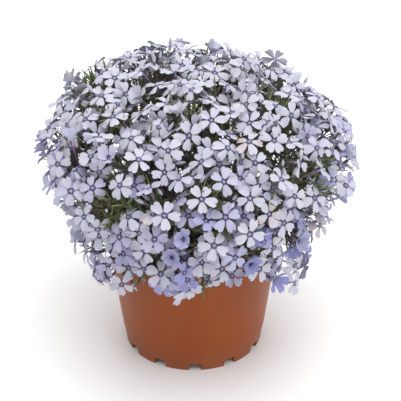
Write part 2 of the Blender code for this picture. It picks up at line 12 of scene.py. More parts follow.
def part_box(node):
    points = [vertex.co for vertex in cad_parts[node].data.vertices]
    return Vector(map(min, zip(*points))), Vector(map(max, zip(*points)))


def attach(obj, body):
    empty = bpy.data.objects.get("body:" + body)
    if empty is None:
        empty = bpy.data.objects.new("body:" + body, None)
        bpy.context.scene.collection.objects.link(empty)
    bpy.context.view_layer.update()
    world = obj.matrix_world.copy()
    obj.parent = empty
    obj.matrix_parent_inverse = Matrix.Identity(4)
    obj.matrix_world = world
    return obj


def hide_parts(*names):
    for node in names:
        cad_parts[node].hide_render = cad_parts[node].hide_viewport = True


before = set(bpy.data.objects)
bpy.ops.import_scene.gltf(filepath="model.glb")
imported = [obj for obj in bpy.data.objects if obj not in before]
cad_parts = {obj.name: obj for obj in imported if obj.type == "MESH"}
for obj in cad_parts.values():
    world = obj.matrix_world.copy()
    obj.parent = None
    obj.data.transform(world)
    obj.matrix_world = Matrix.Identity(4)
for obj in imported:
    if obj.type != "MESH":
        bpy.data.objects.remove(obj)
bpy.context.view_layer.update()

bl_info = {
    "name": "Phlox plant in a nursery pot",
    "version": (1, 0, 0),
    "blender": (4, 5, 0),
    "location": "3D View > Sidebar > Phlox",
    "description": "Makes the blooms, foliage, compost and pot of a creeping phlox in flower",
    "category": "Object",
}

# Pot and soil, as in the solids
PLANT_OFFSET = (-0.00386, 0.00087)
FOOT_RADIUS = 0.0510
WALL_TAPER = 0.1336
NOTCH_HEIGHT = 0.0055
NOTCHES = 12
NOTCH_SHARE = 1 / 3
NOTCH_TURN = math.radians(1.4)
STEP_HEIGHT = 0.0130
STEP_DEPTH = 0.0006
POT_HEIGHT = 0.1000
RIM_HEIGHT = 0.0110
RIM_OVERHANG = 0.0012
POT_WALL = 0.0016
FOOT_WALL = 0.0026
FLOOR_UNDERSIDE = 0.0070
FLOOR_THICKNESS = 0.0018
DRAIN_HOLES = 6
DRAIN_RADIUS = 0.0040
DRAIN_CIRCLE = 0.0300
DRAIN_SIDES = 24
GAP = 0.0003
SOIL_TOP = 0.0900
HOLE_DEPTH = 0.0120
SOIL_SIDES = 96
SOIL_RINGS = 14
CRUMBS = (-0.0012, 0.0006)          # how far the soil's top dips and rises

# Mound that the blooms stand on: a squarish dome over a cone that narrows to the pot's rim
MOUND_CENTRE = 0.1400
DOME_RADIUS = 0.1114
DOME_HEIGHT = 0.0735
DOME_POWER = 2.66
CONE_RADIUS = 0.1047
CONE_DEPTH = 0.2235
# Swellings and dents of the mound: latitude, azimuth, angular size (degrees), height
MOUND_BUMPS = (
    (-40, 212, 18, 0.0080), (-36, 325, 18, 0.0075), (45, 20, 18, 0.0035), (-12, 194, 24, -0.0085),
    (-2, 357, 16, 0.0055), (22, 165, 14, -0.0040), (45, 140, 22, 0.0080), (52, 70, 20, -0.0045),
    (25, 20, 16, -0.0050), (8, 178, 20, 0.0030))
# Waves over the mound: turns round it, turns per radian of latitude, phase
WAVES = ((3, 5, 0.4), (5, -4, 2.0), (7, 6, 4.1))
WAVE_HEIGHT = 0.0024
EDGE_LATITUDE = math.radians(-34)
# Where the blooms hang deeper or stop higher: rise, azimuth, width (degrees)
EDGE_SWINGS = ((-8, 230, 34), (9, 297, 20))
SPIRAL_STEPS = 400

# Blooms that the solids have too
BLOOM_COUNT = 234
BLOOM_SPACING = 0.0203
BLOOM_LIFT = 0.0028
BLOOM_SCATTER = 0.035
LEAST_COSINE = 0.2                  # keeps azimuths from straying far near the top
SETTLE_ROUNDS = 400
SETTLE_PUSH = 0.45
SETTLE_MARGIN = 1.01
BLOOM_TILT = math.radians(46)
BLOOM_FOCUS = 0.0780
LEAST_EASE = 0.35                   # cosine of the sharpest bend between tube and pedicel
EASE_STEP = 0.15
EASE_ROUNDS = 12
TUBE_LENGTH = 0.0085

# Flowering sprays
SPRAY_COUNT = 34
HUB_DEPTH = 0.0230
FOCUS_RADIUS = 0.0600
FOCUS_SHARE = 0.45
FOCUS_HEIGHT = 0.1250
BED_RADIUS = 0.0440
STEM_STEPS = 4
STEM_COLLAR = 0.0015
LEAST_RISE = 0.0140
RISE_SHARE = 0.45
STEM_TURN = 0.0200
LOW_HUB = 0.1250
OVER_RIM = ((0.0540, 0.1035), (0.0670, 0.1080))
LEAST_LOW_LEVEL = 0.0750
LEAST_LOW_HEIGHT = 0.1030
LOW_REACH = 0.0080
BRANCH_REACH = 0.0150
FIRST_ROOT = 0.2                    # the first pedicel's place, in steps from the stem's end

# Leafy shoots that hang over the rim
SHOOT_BED = 0.0490
SHOOT_PATH = ((0.0490, 0.0915), (0.0530, 0.1000), (0.0635, 0.1045), (0.0720, 0.1015), (0.0765, 0.0935))
SHOOT_RADII = (0.0015, 0.0006)
SHOOT_PAIRS = 16
SHOOT_LEAFY = 0.046                 # length of the leafy end
SHOOT_TURN = 0.3
SHOOT_TILT = (28, 30)               # degrees at the tip, and what is added down to the last pair
SHOOT_LEAF_SIZES = (0.8, 1.2)

# Fine blooms
PETALS = 5
THROAT_RADIUS = 0.0006
CLAW_HALF = 0.0004
PETAL_THICKNESS = 0.00035
PETAL_GRID = (6, 4)
WIDEST = 0.80                       # share of a petal's length where it is widest
FULLNESS = 1.15                     # how late it widens
CORNER_CUT = 0.17                   # what its corners and its cleft lack, as shares of the bloom's radius
CLEFT_CUT = 0.12
CLEFT_HALF = 0.36                   # the cleft's half width, as a share of the petal's
# How far petals stray from each other: curl, cup, turn, tip and roll (radians), size
BLOOM_CURL = (-0.0022, 0.0018)
PETAL_CURL = 0.0010
PETAL_CUP = (-0.25, 0.40)
PETAL_TURN = 0.13
PETAL_TIP = (-0.24, 0.22)
PETAL_ROLL = 0.26
PETAL_SIZES = (0.88, 1.04)
# How far each kind of bloom folds its petals forward, in radians: open, half open and limp ones
OPENINGS = (0.0, 0.0, 0.12, 0.05, -0.10, 0.20, 0.30, -0.25, 0.75, 1.05, -0.60, 0.55)
OPEN_KINDS = 8
CLOSED_SHARE = 0.17
BLOOM_SIZES = (0.90, 1.04)
# Cones of a bloom and a bud: sides, lower and upper radius, bottom, top
TUBE = (6, 0.0005, 0.0007, 0.0002 - TUBE_LENGTH, 0.0002)
CALYX = (5, 0.0008, 0.0015, -0.0002 - TUBE_LENGTH, 0.0048 - TUBE_LENGTH)
EYE = (6, 0.0005, 0.0003, 0.0001, 0.0007)
BUD_CALYX = (5, 0.0007, 0.0010, 0.0, 0.0050)
FURL = (5, 0.0009, 0.0013, 0.0047, 0.0077)
FURL_POINT = (0.0034, 0.2)          # rise and share of the furl's end
# A bloom's tone: 0 for the bluest, up to 1, which is pale with peach patches
BLUE_SHARE = 0.27
BLUE_TONES = (0.0, 0.40)
PALE_TONES = (0.32, 0.95)
# Painted shade: how much darker and bluer the blooms sunk deepest below the mound are made
SUNK_PAINTED_SHADE = 0.5
# Painted light: blooms high on the mound are pulled towards a paler tone
TOP_LEVEL = (0.165, 0.205)          # blooms are paler from the first height to the second
TOP_PAINTED_LIGHT_TONE = 0.9
TOP_PAINTED_LIGHT_PULL = 0.6
PEACH_SHARE = 0.04

# Blooms between the others
FILL_SHIFT = (-0.0100, 0.0030)      # how far they stand from the mound
FILL_TRIES = 40
FILL_SINES = (-0.62, 1.0)           # sines of the latitudes where they stand
FILL_TILT = math.radians(75)
# Places without them, where leafy twigs come up instead: latitude, azimuth, radius (degrees)
LEAFY_PLACES = (
    (-15, 294, 12), (16, 326, 9), (46, 347, 8), (60, 262, 9), (42, 219, 7), (13, 236, 7),
    (19, 278, 6), (20, 60, 9), (-10, 110, 10), (32, 160, 8), (-20, 30, 9))
LEAFY_TWIGS = 5
LEAFY_SINK = (0.0040, 0.0110)

# Fine foliage
TWIG_LENGTH = 0.0320
TWIG_PAIRS = 8
TWIG_VARIANTS = 6
TWIG_STEPS = 5
TWIG_LEAN = 0.004
TWIG_RADII = (0.0006, 0.0004)
TWIG_BARE = 0.22                    # share of its length below the first leaves
TWIG_TILT = (62, -42)               # a leaf's tilt at the foot, and what is added up to the tip (degrees)
TWIG_TURN = 0.4
LEAF_STRAY = 0.2
TWIG_LEAF_SIZES = (0.75, 1.1)
LEAF_LENGTH = 0.0125
LEAF_BASE = (0.0005, 0.0001)        # radius and thickness
LEAF_STEPS = ((0.36, 1.9), (0.36, 0.62), (0.28, 0.08))    # shares of the length, changes of the width
LEAF_FLAT = 0.55
LEAF_BEND = 0.0016
TWIG_SINK = (0.0075, 0.0190)        # how far below the mound a twig's tip ends
TWIG_AWAY = 0.30                    # how far from the spray's middle (radians)
TWIG_DROP = 0.06                    # how far below the lowest blooms (radians)
LEAST_NEAR_COSINE = 0.25
TWIG_SCALES = (0.75, 1.15)
TWIG_ROOTS = 0.5                    # share of the stem that twigs leave from
INNER_TWIGS = 5
INNER_SINK = (0.0150, 0.0420)
BUDS = 16
BUD_SINK = (0.0050, 0.0220)
BUD_SIZES = (0.9, 1.1)
SPINS = (0, 6.3)                    # radians, a whole turn
PEDICEL_RADII = (0.0006, 0.0005)
PEDICEL_STEPS = 4
PEDICEL_BEND = 0.35
PEDICEL_OVERLAP = 0.0004
STEM_RADII = ((0, 0.35, 1), (0.0017, 0.0013, 0.0009))     # at shares of its length

# Finishes: what the colours of the settings are mixed with
PEACH = (1.02, 0.80, 0.66)          # times the pale petals' colour
PETAL_BLOTCH = (0.40, 0.395, 0.63)
# Painted shade: the darker, bluer colour that each petal takes towards its foot
PETAL_FOOT_SHADE = (0.34, 0.31, 0.58)
PETAL_VEIN = (0.34, 0.33, 0.60)
# Petal backs: partly their own lavender tint, partly painted light standing in for light shining through
# the thin petal
PETAL_BACK_TINT_AND_LIGHT = (0.65, 0.65, 0.74)
# The eye's dark marks on a petal's own map: middle and half width, across and up
MARK_ACROSS = (0.27, 0.19)
MARK_UP = (0.100, 0.075)
EYE_DARK = (0.24, 0.22, 0.34)
EYE_PALE = (0.66, 0.65, 0.62)
TUBE_PALE = (0.52, 0.50, 0.76)
# Fresh and dry colours
CALYX_AGES = ((0.14, 0.12, 0.15), (0.12, 0.08, 0.10))
LEAF_AGES = ((0.14, 0.21, 0.07), (0.16, 0.12, 0.08))
STEM_AGES = ((0.15, 0.12, 0.13), (0.11, 0.075, 0.08))
POT_DUST = (0.34, 0.19, 0.12)
DUST_HEIGHT = 0.022
BARK = (0.075, 0.047, 0.028)
FIBRE = (0.16, 0.11, 0.07)

# Camera, as fitted to the photo
VIEW_DISTANCE = 1.2
VIEW_ELEVATION = math.radians(30.4)
VIEW_AIM = (0.0052, 0.0, 0.1151)
VIEW_LENS = 147.97
SENSOR = 36.0

# Lamps
LAMP_AIM = (0.0, 0.0, 0.13)
KEY_LAMP = ((0.12, -0.36, 1.66), 1.4)
FILL_LAMP = ((1.3, -0.9, 0.60), 1.4)
RIM_LAMP = ((-0.1, 1.2, 1.1), 1.2)
FLOOR_SIZE = 12

# Seeds
LAYOUT_SEED = 11
FACING_SEED = 12
BETWEEN_SEED = 21
SPRAY_SEED = 22
SHOOT_SEED = 23
SOIL_SEED = 31

GOLDEN_ANGLE = math.pi * (3 - math.sqrt(5))
UP = np.array([0.0, 0.0, 1.0])


# Settings
def length_setting(name, description, default):
    return bpy.props.FloatProperty(
        name=name, description=description, default=default, unit="LENGTH", precision=5)


def colour_setting(name, description, default):
    return bpy.props.FloatVectorProperty(
        name=name, description=description, default=default, subtype="COLOR", min=0, max=1)


def count_setting(name, description, default, least=0):
    return bpy.props.IntProperty(name=name, description=description, default=default, min=least)


def power_setting(name, description, default):
    return bpy.props.FloatProperty(
        name=name, description=description, default=default, unit="POWER", min=0)


class PhloxPotSettings(bpy.types.PropertyGroup):
    sides: count_setting("Sides", "Sides of the pot, a multiple of 36", 144, 36)
    edge_round: length_setting("Edge rounding", "Radius of the moulded edges", 0.0004)
    colour: colour_setting("Pot colour", "Terracotta-coloured plastic", (0.255, 0.055, 0.008))
    compost: colour_setting("Compost colour", "Dark potting compost", (0.030, 0.020, 0.013))


class PhloxBloomSettings(bpy.types.PropertyGroup):
    radius: length_setting("Bloom radius", "From a bloom's middle to its petal tips", 0.0107)
    petal_width: length_setting("Petal half width", "Half of a petal's greatest width", 0.0033)
    between: count_setting("Blooms between", "Blooms in between the evenly spaced ones", 250)
    pale: colour_setting("Pale petals", "Colour of the palest petals", (0.555, 0.550, 0.592))
    blue: colour_setting("Lavender petals", "Colour of the bluest petals", (0.225, 0.230, 0.495))
    eye: colour_setting("Eye marks", "Dark marks at the petal bases", (0.012, 0.008, 0.060))


class PhloxFoliageSettings(bpy.types.PropertyGroup):
    twigs: count_setting("Twigs a spray", "Leafy twigs on each flowering spray", 9)
    leaf: colour_setting("Leaf colour", "Green of the awl-shaped leaves", (0.135, 0.150, 0.075))
    stem: colour_setting("Stem colour", "Brownish stems and pedicels", (0.155, 0.115, 0.125))
    calyx: colour_setting("Calyx colour", "Purple-brown calyces and buds", (0.150, 0.110, 0.160))


class PhloxStageSettings(bpy.types.PropertyGroup):
    floor: colour_setting("Floor colour", "Plain pale floor", (0.96, 0.96, 0.96))
    sky: bpy.props.FloatProperty(
        name="Sky strength", description="Soft light from all round", default=0.79, min=0)
    key: power_setting("Main lamp", "Power of the large lamp overhead", 16.5)
    fill: power_setting("Side lamp", "Power of the low lamp at the right", 5.0)
    rim: power_setting("Back lamp", "Power of the lamp above and behind", 7.0)


# Layout, by the same rule as the solids
def unit(vector):
    return vector / np.linalg.norm(vector)


def angle_between(first, second):
    return (first - second + math.pi) % (2 * math.pi) - math.pi


def outer_radius(height):
    return FOOT_RADIUS + WALL_TAPER * height


def mound_distance(latitude, azimuth):
    level, rise = np.abs(np.cos(latitude)), np.sin(latitude)
    dome = (level / DOME_RADIUS) ** DOME_POWER + (np.abs(rise) / DOME_HEIGHT) ** DOME_POWER
    cone = level / CONE_RADIUS - rise / CONE_DEPTH
    distance = 1 / np.maximum(dome ** (1 / DOME_POWER), cone)
    for bump_latitude, bump_azimuth, size, height in MOUND_BUMPS:
        across = angle_between(azimuth, math.radians(bump_azimuth)) * np.cos(latitude)
        away = (latitude - math.radians(bump_latitude)) ** 2 + across ** 2
        distance = distance + height * np.exp(-away / math.radians(size) ** 2)
    for turns, climb, phase in WAVES:
        distance = distance + WAVE_HEIGHT * level * np.sin(turns * azimuth + climb * latitude + phase)
    return distance


def mound_point(latitude, azimuth, lift=0.0):
    distance = mound_distance(latitude, azimuth) + lift
    level = distance * np.cos(latitude)
    return np.stack([level * np.cos(azimuth), level * np.sin(azimuth),
                     MOUND_CENTRE + distance * np.sin(latitude)], axis=-1)


def lowest_latitude(azimuth):
    edge = EDGE_LATITUDE
    for rise, place, width in EDGE_SWINGS:
        away = angle_between(azimuth, math.radians(place)) / math.radians(width)
        edge = edge + math.radians(rise) * np.exp(-away ** 2)
    return edge


def spiral(count):
    """Latitudes and azimuths that share the mound's surface out evenly, from the top down."""
    latitudes = np.linspace(math.pi / 2, EDGE_LATITUDE, SPIRAL_STEPS)
    points = mound_point(latitudes, np.zeros(SPIRAL_STEPS))
    strips = np.linalg.norm(np.diff(points, axis=0), axis=1) * (points[1:, 0] + points[:-1, 0]) / 2
    area = np.concatenate([[0.0], np.cumsum(strips)])
    shares = (np.arange(count) + 0.5) / count * area[-1]
    return np.interp(shares, area, latitudes), np.arange(count) * GOLDEN_ANGLE % (2 * math.pi)


def angles_of(points):
    flat = points - np.array([0.0, 0.0, MOUND_CENTRE])
    latitude = np.arctan2(flat[:, 2], np.hypot(flat[:, 0], flat[:, 1]))
    return latitude, np.arctan2(flat[:, 1], flat[:, 0])


def bloom_layout():
    """Bloom middles on the mound, pushed apart until no two can touch however they tilt."""
    draw = np.random.default_rng(LAYOUT_SEED)
    latitude, azimuth = spiral(BLOOM_COUNT)
    lift = draw.uniform(-BLOOM_LIFT, BLOOM_LIFT, BLOOM_COUNT)
    latitude = latitude + draw.normal(0, BLOOM_SCATTER, BLOOM_COUNT)
    stray = draw.normal(0, BLOOM_SCATTER, BLOOM_COUNT)
    azimuth = azimuth + stray / np.maximum(np.cos(latitude), LEAST_COSINE)
    points = mound_point(latitude, azimuth, lift)
    for _ in range(SETTLE_ROUNDS):
        apart = points[:, None] - points[None]
        distance = np.linalg.norm(apart, axis=2) + np.eye(BLOOM_COUNT)
        short = np.clip(BLOOM_SPACING * SETTLE_MARGIN - distance, 0, None) * (1 - np.eye(BLOOM_COUNT))
        points = points + (apart / distance[..., None] * short[..., None] * SETTLE_PUSH).sum(axis=1)
        latitude, azimuth = angles_of(points)
        latitude = np.maximum(latitude, lowest_latitude(azimuth))
        points = mound_point(latitude, azimuth, lift)
    return points


def tilted_facing(point, most, draw):
    """Away from the focus on the axis, tilted to any side by an angle up to the most."""
    straight = unit(point - BLOOM_FOCUS * UP)
    sideways = unit(np.cross(straight, draw.normal(size=3)))
    tilt = draw.uniform(0, most)
    return unit(straight * math.cos(tilt) + sideways * math.sin(tilt))


def bloom_facings(points):
    draw = np.random.default_rng(FACING_SEED)
    facings = []
    for point in points:
        facings.append(tilted_facing(point, BLOOM_TILT, draw))
    return np.array(facings), draw.uniform(0, 2 * math.pi, len(points))


def spray_middles():
    latitude, azimuth = spiral(SPRAY_COUNT)
    return mound_point(latitude, azimuth)


def hub_of(middle):
    """Where a spray's stem ends, below the middle of its share of the mound."""
    level = math.hypot(middle[0], middle[1])
    focus_level = min(FOCUS_RADIUS, FOCUS_SHARE * level)
    focus = np.array([middle[0] / level * focus_level, middle[1] / level * focus_level, FOCUS_HEIGHT])
    hub = middle + HUB_DEPTH * unit(focus - middle)
    if hub[2] < LOW_HUB:
        hub[:2] *= max(1.0, LEAST_LOW_LEVEL / math.hypot(hub[0], hub[1]))
        hub[2] = max(hub[2], LEAST_LOW_HEIGHT)
    return hub


def bezier(first, second, third, fourth, steps):
    share = np.linspace(0, 1, steps + 1)[:, None]
    rest = 1 - share
    near = rest ** 3 * first + 3 * rest ** 2 * share * second
    return near + 3 * rest * share ** 2 * third + share ** 3 * fourth


def stem_path(index, middle):
    """A spray's stem from its hole in the soil, up past the rim, out to its hub."""
    hub = hub_of(middle)
    outward = unit(np.array([middle[0], middle[1], 0.0]))
    bed = BED_RADIUS * math.sqrt((index + 0.5) / SPRAY_COUNT)
    foot = outward * bed + (SOIL_TOP - HOLE_DEPTH + GAP) * UP
    collar = foot + (HOLE_DEPTH + STEM_COLLAR) * UP
    if hub[2] < LOW_HUB:
        bend = [outward * level + height * UP for level, height in OVER_RIM]
        return np.array([foot, collar] + bend + [hub])
    rise = collar + max(RISE_SHARE * (hub[2] - collar[2]), LEAST_RISE) * UP
    turn = hub - STEM_TURN * unit(middle - hub)
    return np.concatenate([[foot], bezier(collar, rise, turn, hub, STEM_STEPS - 1)])


def along(path, back):
    for index in range(len(path) - 1, 0, -1):
        step = np.linalg.norm(path[index] - path[index - 1])
        if back <= step:
            return path[index] + (path[index - 1] - path[index]) * back / step
        back -= step
    return path[0]


def eased(middle, facing, root):
    """A bloom's facing, turned outward until its tube no longer bends sharply from its pedicel."""
    for _ in range(EASE_ROUNDS):
        run = unit(middle - TUBE_LENGTH * facing - root)
        if facing @ run > LEAST_EASE:
            break
        facing = unit(facing + EASE_STEP * unit(middle - root))
    return facing


def spray_plan():
    """For each spray its stem and the middle, facing, spin, root and depth of each bloom."""
    blooms = bloom_layout()
    facings, spins = bloom_facings(blooms)
    middles = spray_middles()
    owner = np.linalg.norm(blooms[:, None] - middles[None], axis=2).argmin(axis=1)
    plans = []
    for index, middle in enumerate(middles):
        path = stem_path(index, middle)
        plan = {"path": path, "middle": middle, "blooms": []}
        own = np.flatnonzero(owner == index)
        own = own[np.argsort(np.linalg.norm(blooms[own] - middle, axis=1))]
        reach = LOW_REACH if path[-1][2] < LOW_HUB else BRANCH_REACH
        for rank, number in enumerate(own):
            root = along(path, reach * (rank + FIRST_ROOT) / len(own))
            facing = eased(blooms[number], facings[number], root)
            plan["blooms"].append((blooms[number], facing, spins[number], root, 0.0))
        plans.append(plan)
    return plans


def in_leafy_place(latitude, azimuth):
    inside = np.zeros(np.shape(latitude), bool)
    for place_latitude, place_azimuth, radius in LEAFY_PLACES:
        across = angle_between(azimuth, math.radians(place_azimuth)) * np.cos(latitude)
        away = np.hypot(latitude - math.radians(place_latitude), across)
        inside = inside | (away < math.radians(radius))
    return inside


def add_blooms_between(plans, count):
    """Blooms a little below and between the evenly spaced ones, each where it has the most room."""
    draw = np.random.default_rng(BETWEEN_SEED)
    taken = [bloom[0] for plan in plans for bloom in plan["blooms"]]
    middles = np.array([plan["middle"] for plan in plans])
    for _ in range(count):
        latitude = np.arcsin(draw.uniform(*FILL_SINES, FILL_TRIES))
        azimuth = draw.uniform(0, 2 * math.pi, FILL_TRIES)
        latitude = np.maximum(latitude, lowest_latitude(azimuth))
        shifts = draw.uniform(*FILL_SHIFT, FILL_TRIES)
        choices = mound_point(latitude, azimuth, shifts)
        room = np.linalg.norm(choices[:, None] - np.array(taken)[None], axis=2).min(axis=1)
        room = np.where(in_leafy_place(latitude, azimuth), 0, room)
        middle = choices[room.argmax()]
        sunk = float(np.clip(-shifts[room.argmax()] / -FILL_SHIFT[0], 0, 1))
        taken.append(middle)
        facing = tilted_facing(middle, FILL_TILT, draw)
        plan = plans[np.linalg.norm(middles - middle, axis=1).argmin()]
        root = along(plan["path"], draw.uniform(0, LOW_REACH))
        facing = eased(middle, facing, root)
        plan["blooms"].append((middle, facing, draw.uniform(0, 2 * math.pi), root, sunk))


# Modelling helpers
def deselect():
    if bpy.context.object and bpy.context.object.mode != "OBJECT":
        bpy.ops.object.mode_set(mode="OBJECT")
    bpy.ops.object.select_all(action="DESELECT")


def pick(piece):
    deselect()
    piece.select_set(True)
    bpy.context.view_layer.objects.active = piece


def named(name):
    piece = bpy.context.object
    piece.name = name
    piece.data.name = name
    return piece


def apply_modifier(piece, kind, **settings):
    pick(piece)
    modifier = piece.modifiers.new(kind.lower(), kind)
    for setting, value in settings.items():
        setattr(modifier, setting, value)
    bpy.ops.object.modifier_apply(modifier=modifier.name)


def apply_place(piece):
    pick(piece)
    bpy.ops.object.transform_apply(location=True, rotation=True, scale=True)


def smooth(piece, degrees):
    pick(piece)
    bpy.ops.object.shade_smooth_by_angle(angle=math.radians(degrees))


def recalculate(piece):
    pick(piece)
    bpy.ops.object.mode_set(mode="EDIT")
    bpy.ops.mesh.select_all(action="SELECT")
    bpy.ops.mesh.remove_doubles(threshold=1e-6)
    bpy.ops.mesh.normals_make_consistent(inside=False)
    bpy.ops.object.mode_set(mode="OBJECT")


def join(name, pieces):
    deselect()
    for piece in pieces:
        piece.select_set(True)
    bpy.context.view_layer.objects.active = pieces[0]
    if len(pieces) > 1:
        bpy.ops.object.join()
    return named(name)


def give(piece, *finishes):
    piece.data.materials.clear()
    for finish in finishes:
        piece.data.materials.append(finish)


def copy_of(template, place, tone):
    """A copy of a template with its own mesh, put in place and given a tone."""
    mesh = template.data.copy()
    mesh.transform(place)
    layer = mesh.attributes.get("tone") or mesh.attributes.new("tone", "FLOAT", "FACE")
    layer.data.foreach_set("value", np.full(len(mesh.polygons), tone, np.float32))
    piece = bpy.data.objects.new(template.name, mesh)
    bpy.context.scene.collection.objects.link(piece)
    return piece


def facing_matrix(place, facing, spin, scale=1.0):
    turned = Vector(facing).to_track_quat("Z", "Y").to_matrix().to_4x4()
    spun = turned @ Matrix.Rotation(spin, 4, "Z") @ Matrix.Scale(scale, 4)
    return Matrix.Translation(Vector(place)) @ spun


def drop(pieces):
    for piece in pieces:
        bpy.data.objects.remove(piece, do_unlink=True)


def ride_on_plant(piece, slot, *nodes):
    """Moves a piece from the pot's axis to the row frame and hands it to the frame."""
    piece.data.transform(Matrix.Translation(Vector((*PLANT_OFFSET, 0.0))))
    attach(piece, "root")
    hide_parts(*nodes)


def curve_tubes(name, runs, finish):
    """Round stems along paths, as one mesh: each run is (points, radii)."""
    data = bpy.data.curves.new(name, "CURVE")
    data.dimensions = "3D"
    data.bevel_depth = 1.0
    data.bevel_resolution = 0
    data.use_fill_caps = True
    for points, radii in runs:
        spline = data.splines.new("POLY")
        spline.points.add(len(points) - 1)
        for point, place, radius in zip(spline.points, points, radii):
            point.co = (*place, 1.0)
            point.radius = radius
    piece = bpy.data.objects.new(name, data)
    bpy.context.scene.collection.objects.link(piece)
    pick(piece)
    bpy.ops.object.convert(target="MESH")
    piece = named(name)
    piece.data.polygons.foreach_set("use_smooth", [True] * len(piece.data.polygons))
    give(piece, finish)
    return piece


# Finishes
def new_node(tree, kind, **settings):
    node = tree.nodes.new(kind)
    for setting, value in settings.items():
        setattr(node, setting, value)
    return node


def patch_group():
    """Cloudy and fine variation over a surface: outputs a mask around 0.5, which also serves as a height
    for bumps.
    """
    group = bpy.data.node_groups.get("surface variation")
    if group:
        return group
    group = bpy.data.node_groups.new("surface variation", "ShaderNodeTree")
    for name, default in (("Cloud Scale", 40.0), ("Grain Scale", 900.0), ("Grain Share", 0.4)):
        socket = group.interface.new_socket(name, in_out="INPUT", socket_type="NodeSocketFloat")
        socket.default_value = default
    group.interface.new_socket("Mask", in_out="OUTPUT", socket_type="NodeSocketFloat")
    start = new_node(group, "NodeGroupInput")
    end = new_node(group, "NodeGroupOutput")
    place = new_node(group, "ShaderNodeTexCoord")
    cloud = new_node(group, "ShaderNodeTexNoise")
    grain = new_node(group, "ShaderNodeTexNoise")
    blend = new_node(group, "ShaderNodeMix", data_type="FLOAT")
    link = group.links.new
    for noise, scale, side in ((cloud, "Cloud Scale", "A"), (grain, "Grain Scale", "B")):
        link(place.outputs["Object"], noise.inputs["Vector"])
        link(start.outputs[scale], noise.inputs["Scale"])
        link(noise.outputs["Fac"], blend.inputs[side])
    link(start.outputs["Grain Share"], blend.inputs["Factor"])
    link(blend.outputs["Result"], end.inputs["Mask"])
    return group


def new_finish(name, roughness, **constants):
    """A material with its Principled node, its tree and constants set on the shader's own sockets."""
    finish = bpy.data.materials.get(name) or bpy.data.materials.new(name)
    finish.use_nodes = True
    tree = finish.node_tree
    tree.nodes.clear()
    out = new_node(tree, "ShaderNodeOutputMaterial")
    shader = new_node(tree, "ShaderNodeBsdfPrincipled")
    shader.inputs["Roughness"].default_value = roughness
    for socket, value in constants.items():
        shader.inputs[socket.replace("_", " ")].default_value = value
    tree.links.new(shader.outputs["BSDF"], out.inputs["Surface"])
    return finish, tree, shader


def variation(tree, cloud, grain, share):
    node = new_node(tree, "ShaderNodeGroup", node_tree=patch_group())
    node.inputs["Cloud Scale"].default_value = cloud
    node.inputs["Grain Scale"].default_value = grain
    node.inputs["Grain Share"].default_value = share
    return node.outputs["Mask"]


def ramp(tree, value, *stops):
    """Colours at positions of a mask: each stop is (position, colour)."""
    node = new_node(tree, "ShaderNodeValToRGB")
    bands = node.color_ramp.elements
    while len(bands) < len(stops):
        bands.new(0.5)
    for band, (position, colour) in zip(bands, stops):
        band.position = position
        band.color = (*colour, 1)
    tree.links.new(value, node.inputs["Fac"])
    return node.outputs["Color"]


def mix(tree, factor, first, second):
    node = new_node(tree, "ShaderNodeMix", data_type="RGBA")
    for value, socket in ((factor, node.inputs[0]), (first, node.inputs[6]), (second, node.inputs[7])):
        if isinstance(value, bpy.types.NodeSocket):
            tree.links.new(value, socket)
        else:
            socket.default_value = value if isinstance(value, float) else (*value, 1)
    return node.outputs[2]


def maths(tree, operation, *values):
    node = new_node(tree, "ShaderNodeMath", operation=operation)
    for value, socket in zip(values, node.inputs):
        if isinstance(value, bpy.types.NodeSocket):
            tree.links.new(value, socket)
        else:
            socket.default_value = value
    return node.outputs[0]


def clamped(tree, value, factor, shift):
    """A value times a factor plus a shift, kept between 0 and 1."""
    node = maths(tree, "MULTIPLY_ADD", value, factor, shift).node
    node.use_clamp = True
    return node.outputs[0]


def squared_from(tree, value, middle, half):
    """The square of a value's distance from a middle, in half widths."""
    away = maths(tree, "MULTIPLY_ADD", value, 1 / half, -middle / half)
    return maths(tree, "MULTIPLY", away, away)


def bump(tree, shader, height, distance, strength=1.0):
    node = new_node(tree, "ShaderNodeBump")
    node.inputs["Strength"].default_value = strength
    node.inputs["Distance"].default_value = distance
    tree.links.new(height, node.inputs["Height"])
    tree.links.new(node.outputs["Normal"], shader.inputs["Normal"])


def shade(colour, share):
    return tuple(share * value for value in colour)


def tone_of(tree):
    return new_node(tree, "ShaderNodeAttribute", attribute_name="tone").outputs["Fac"]


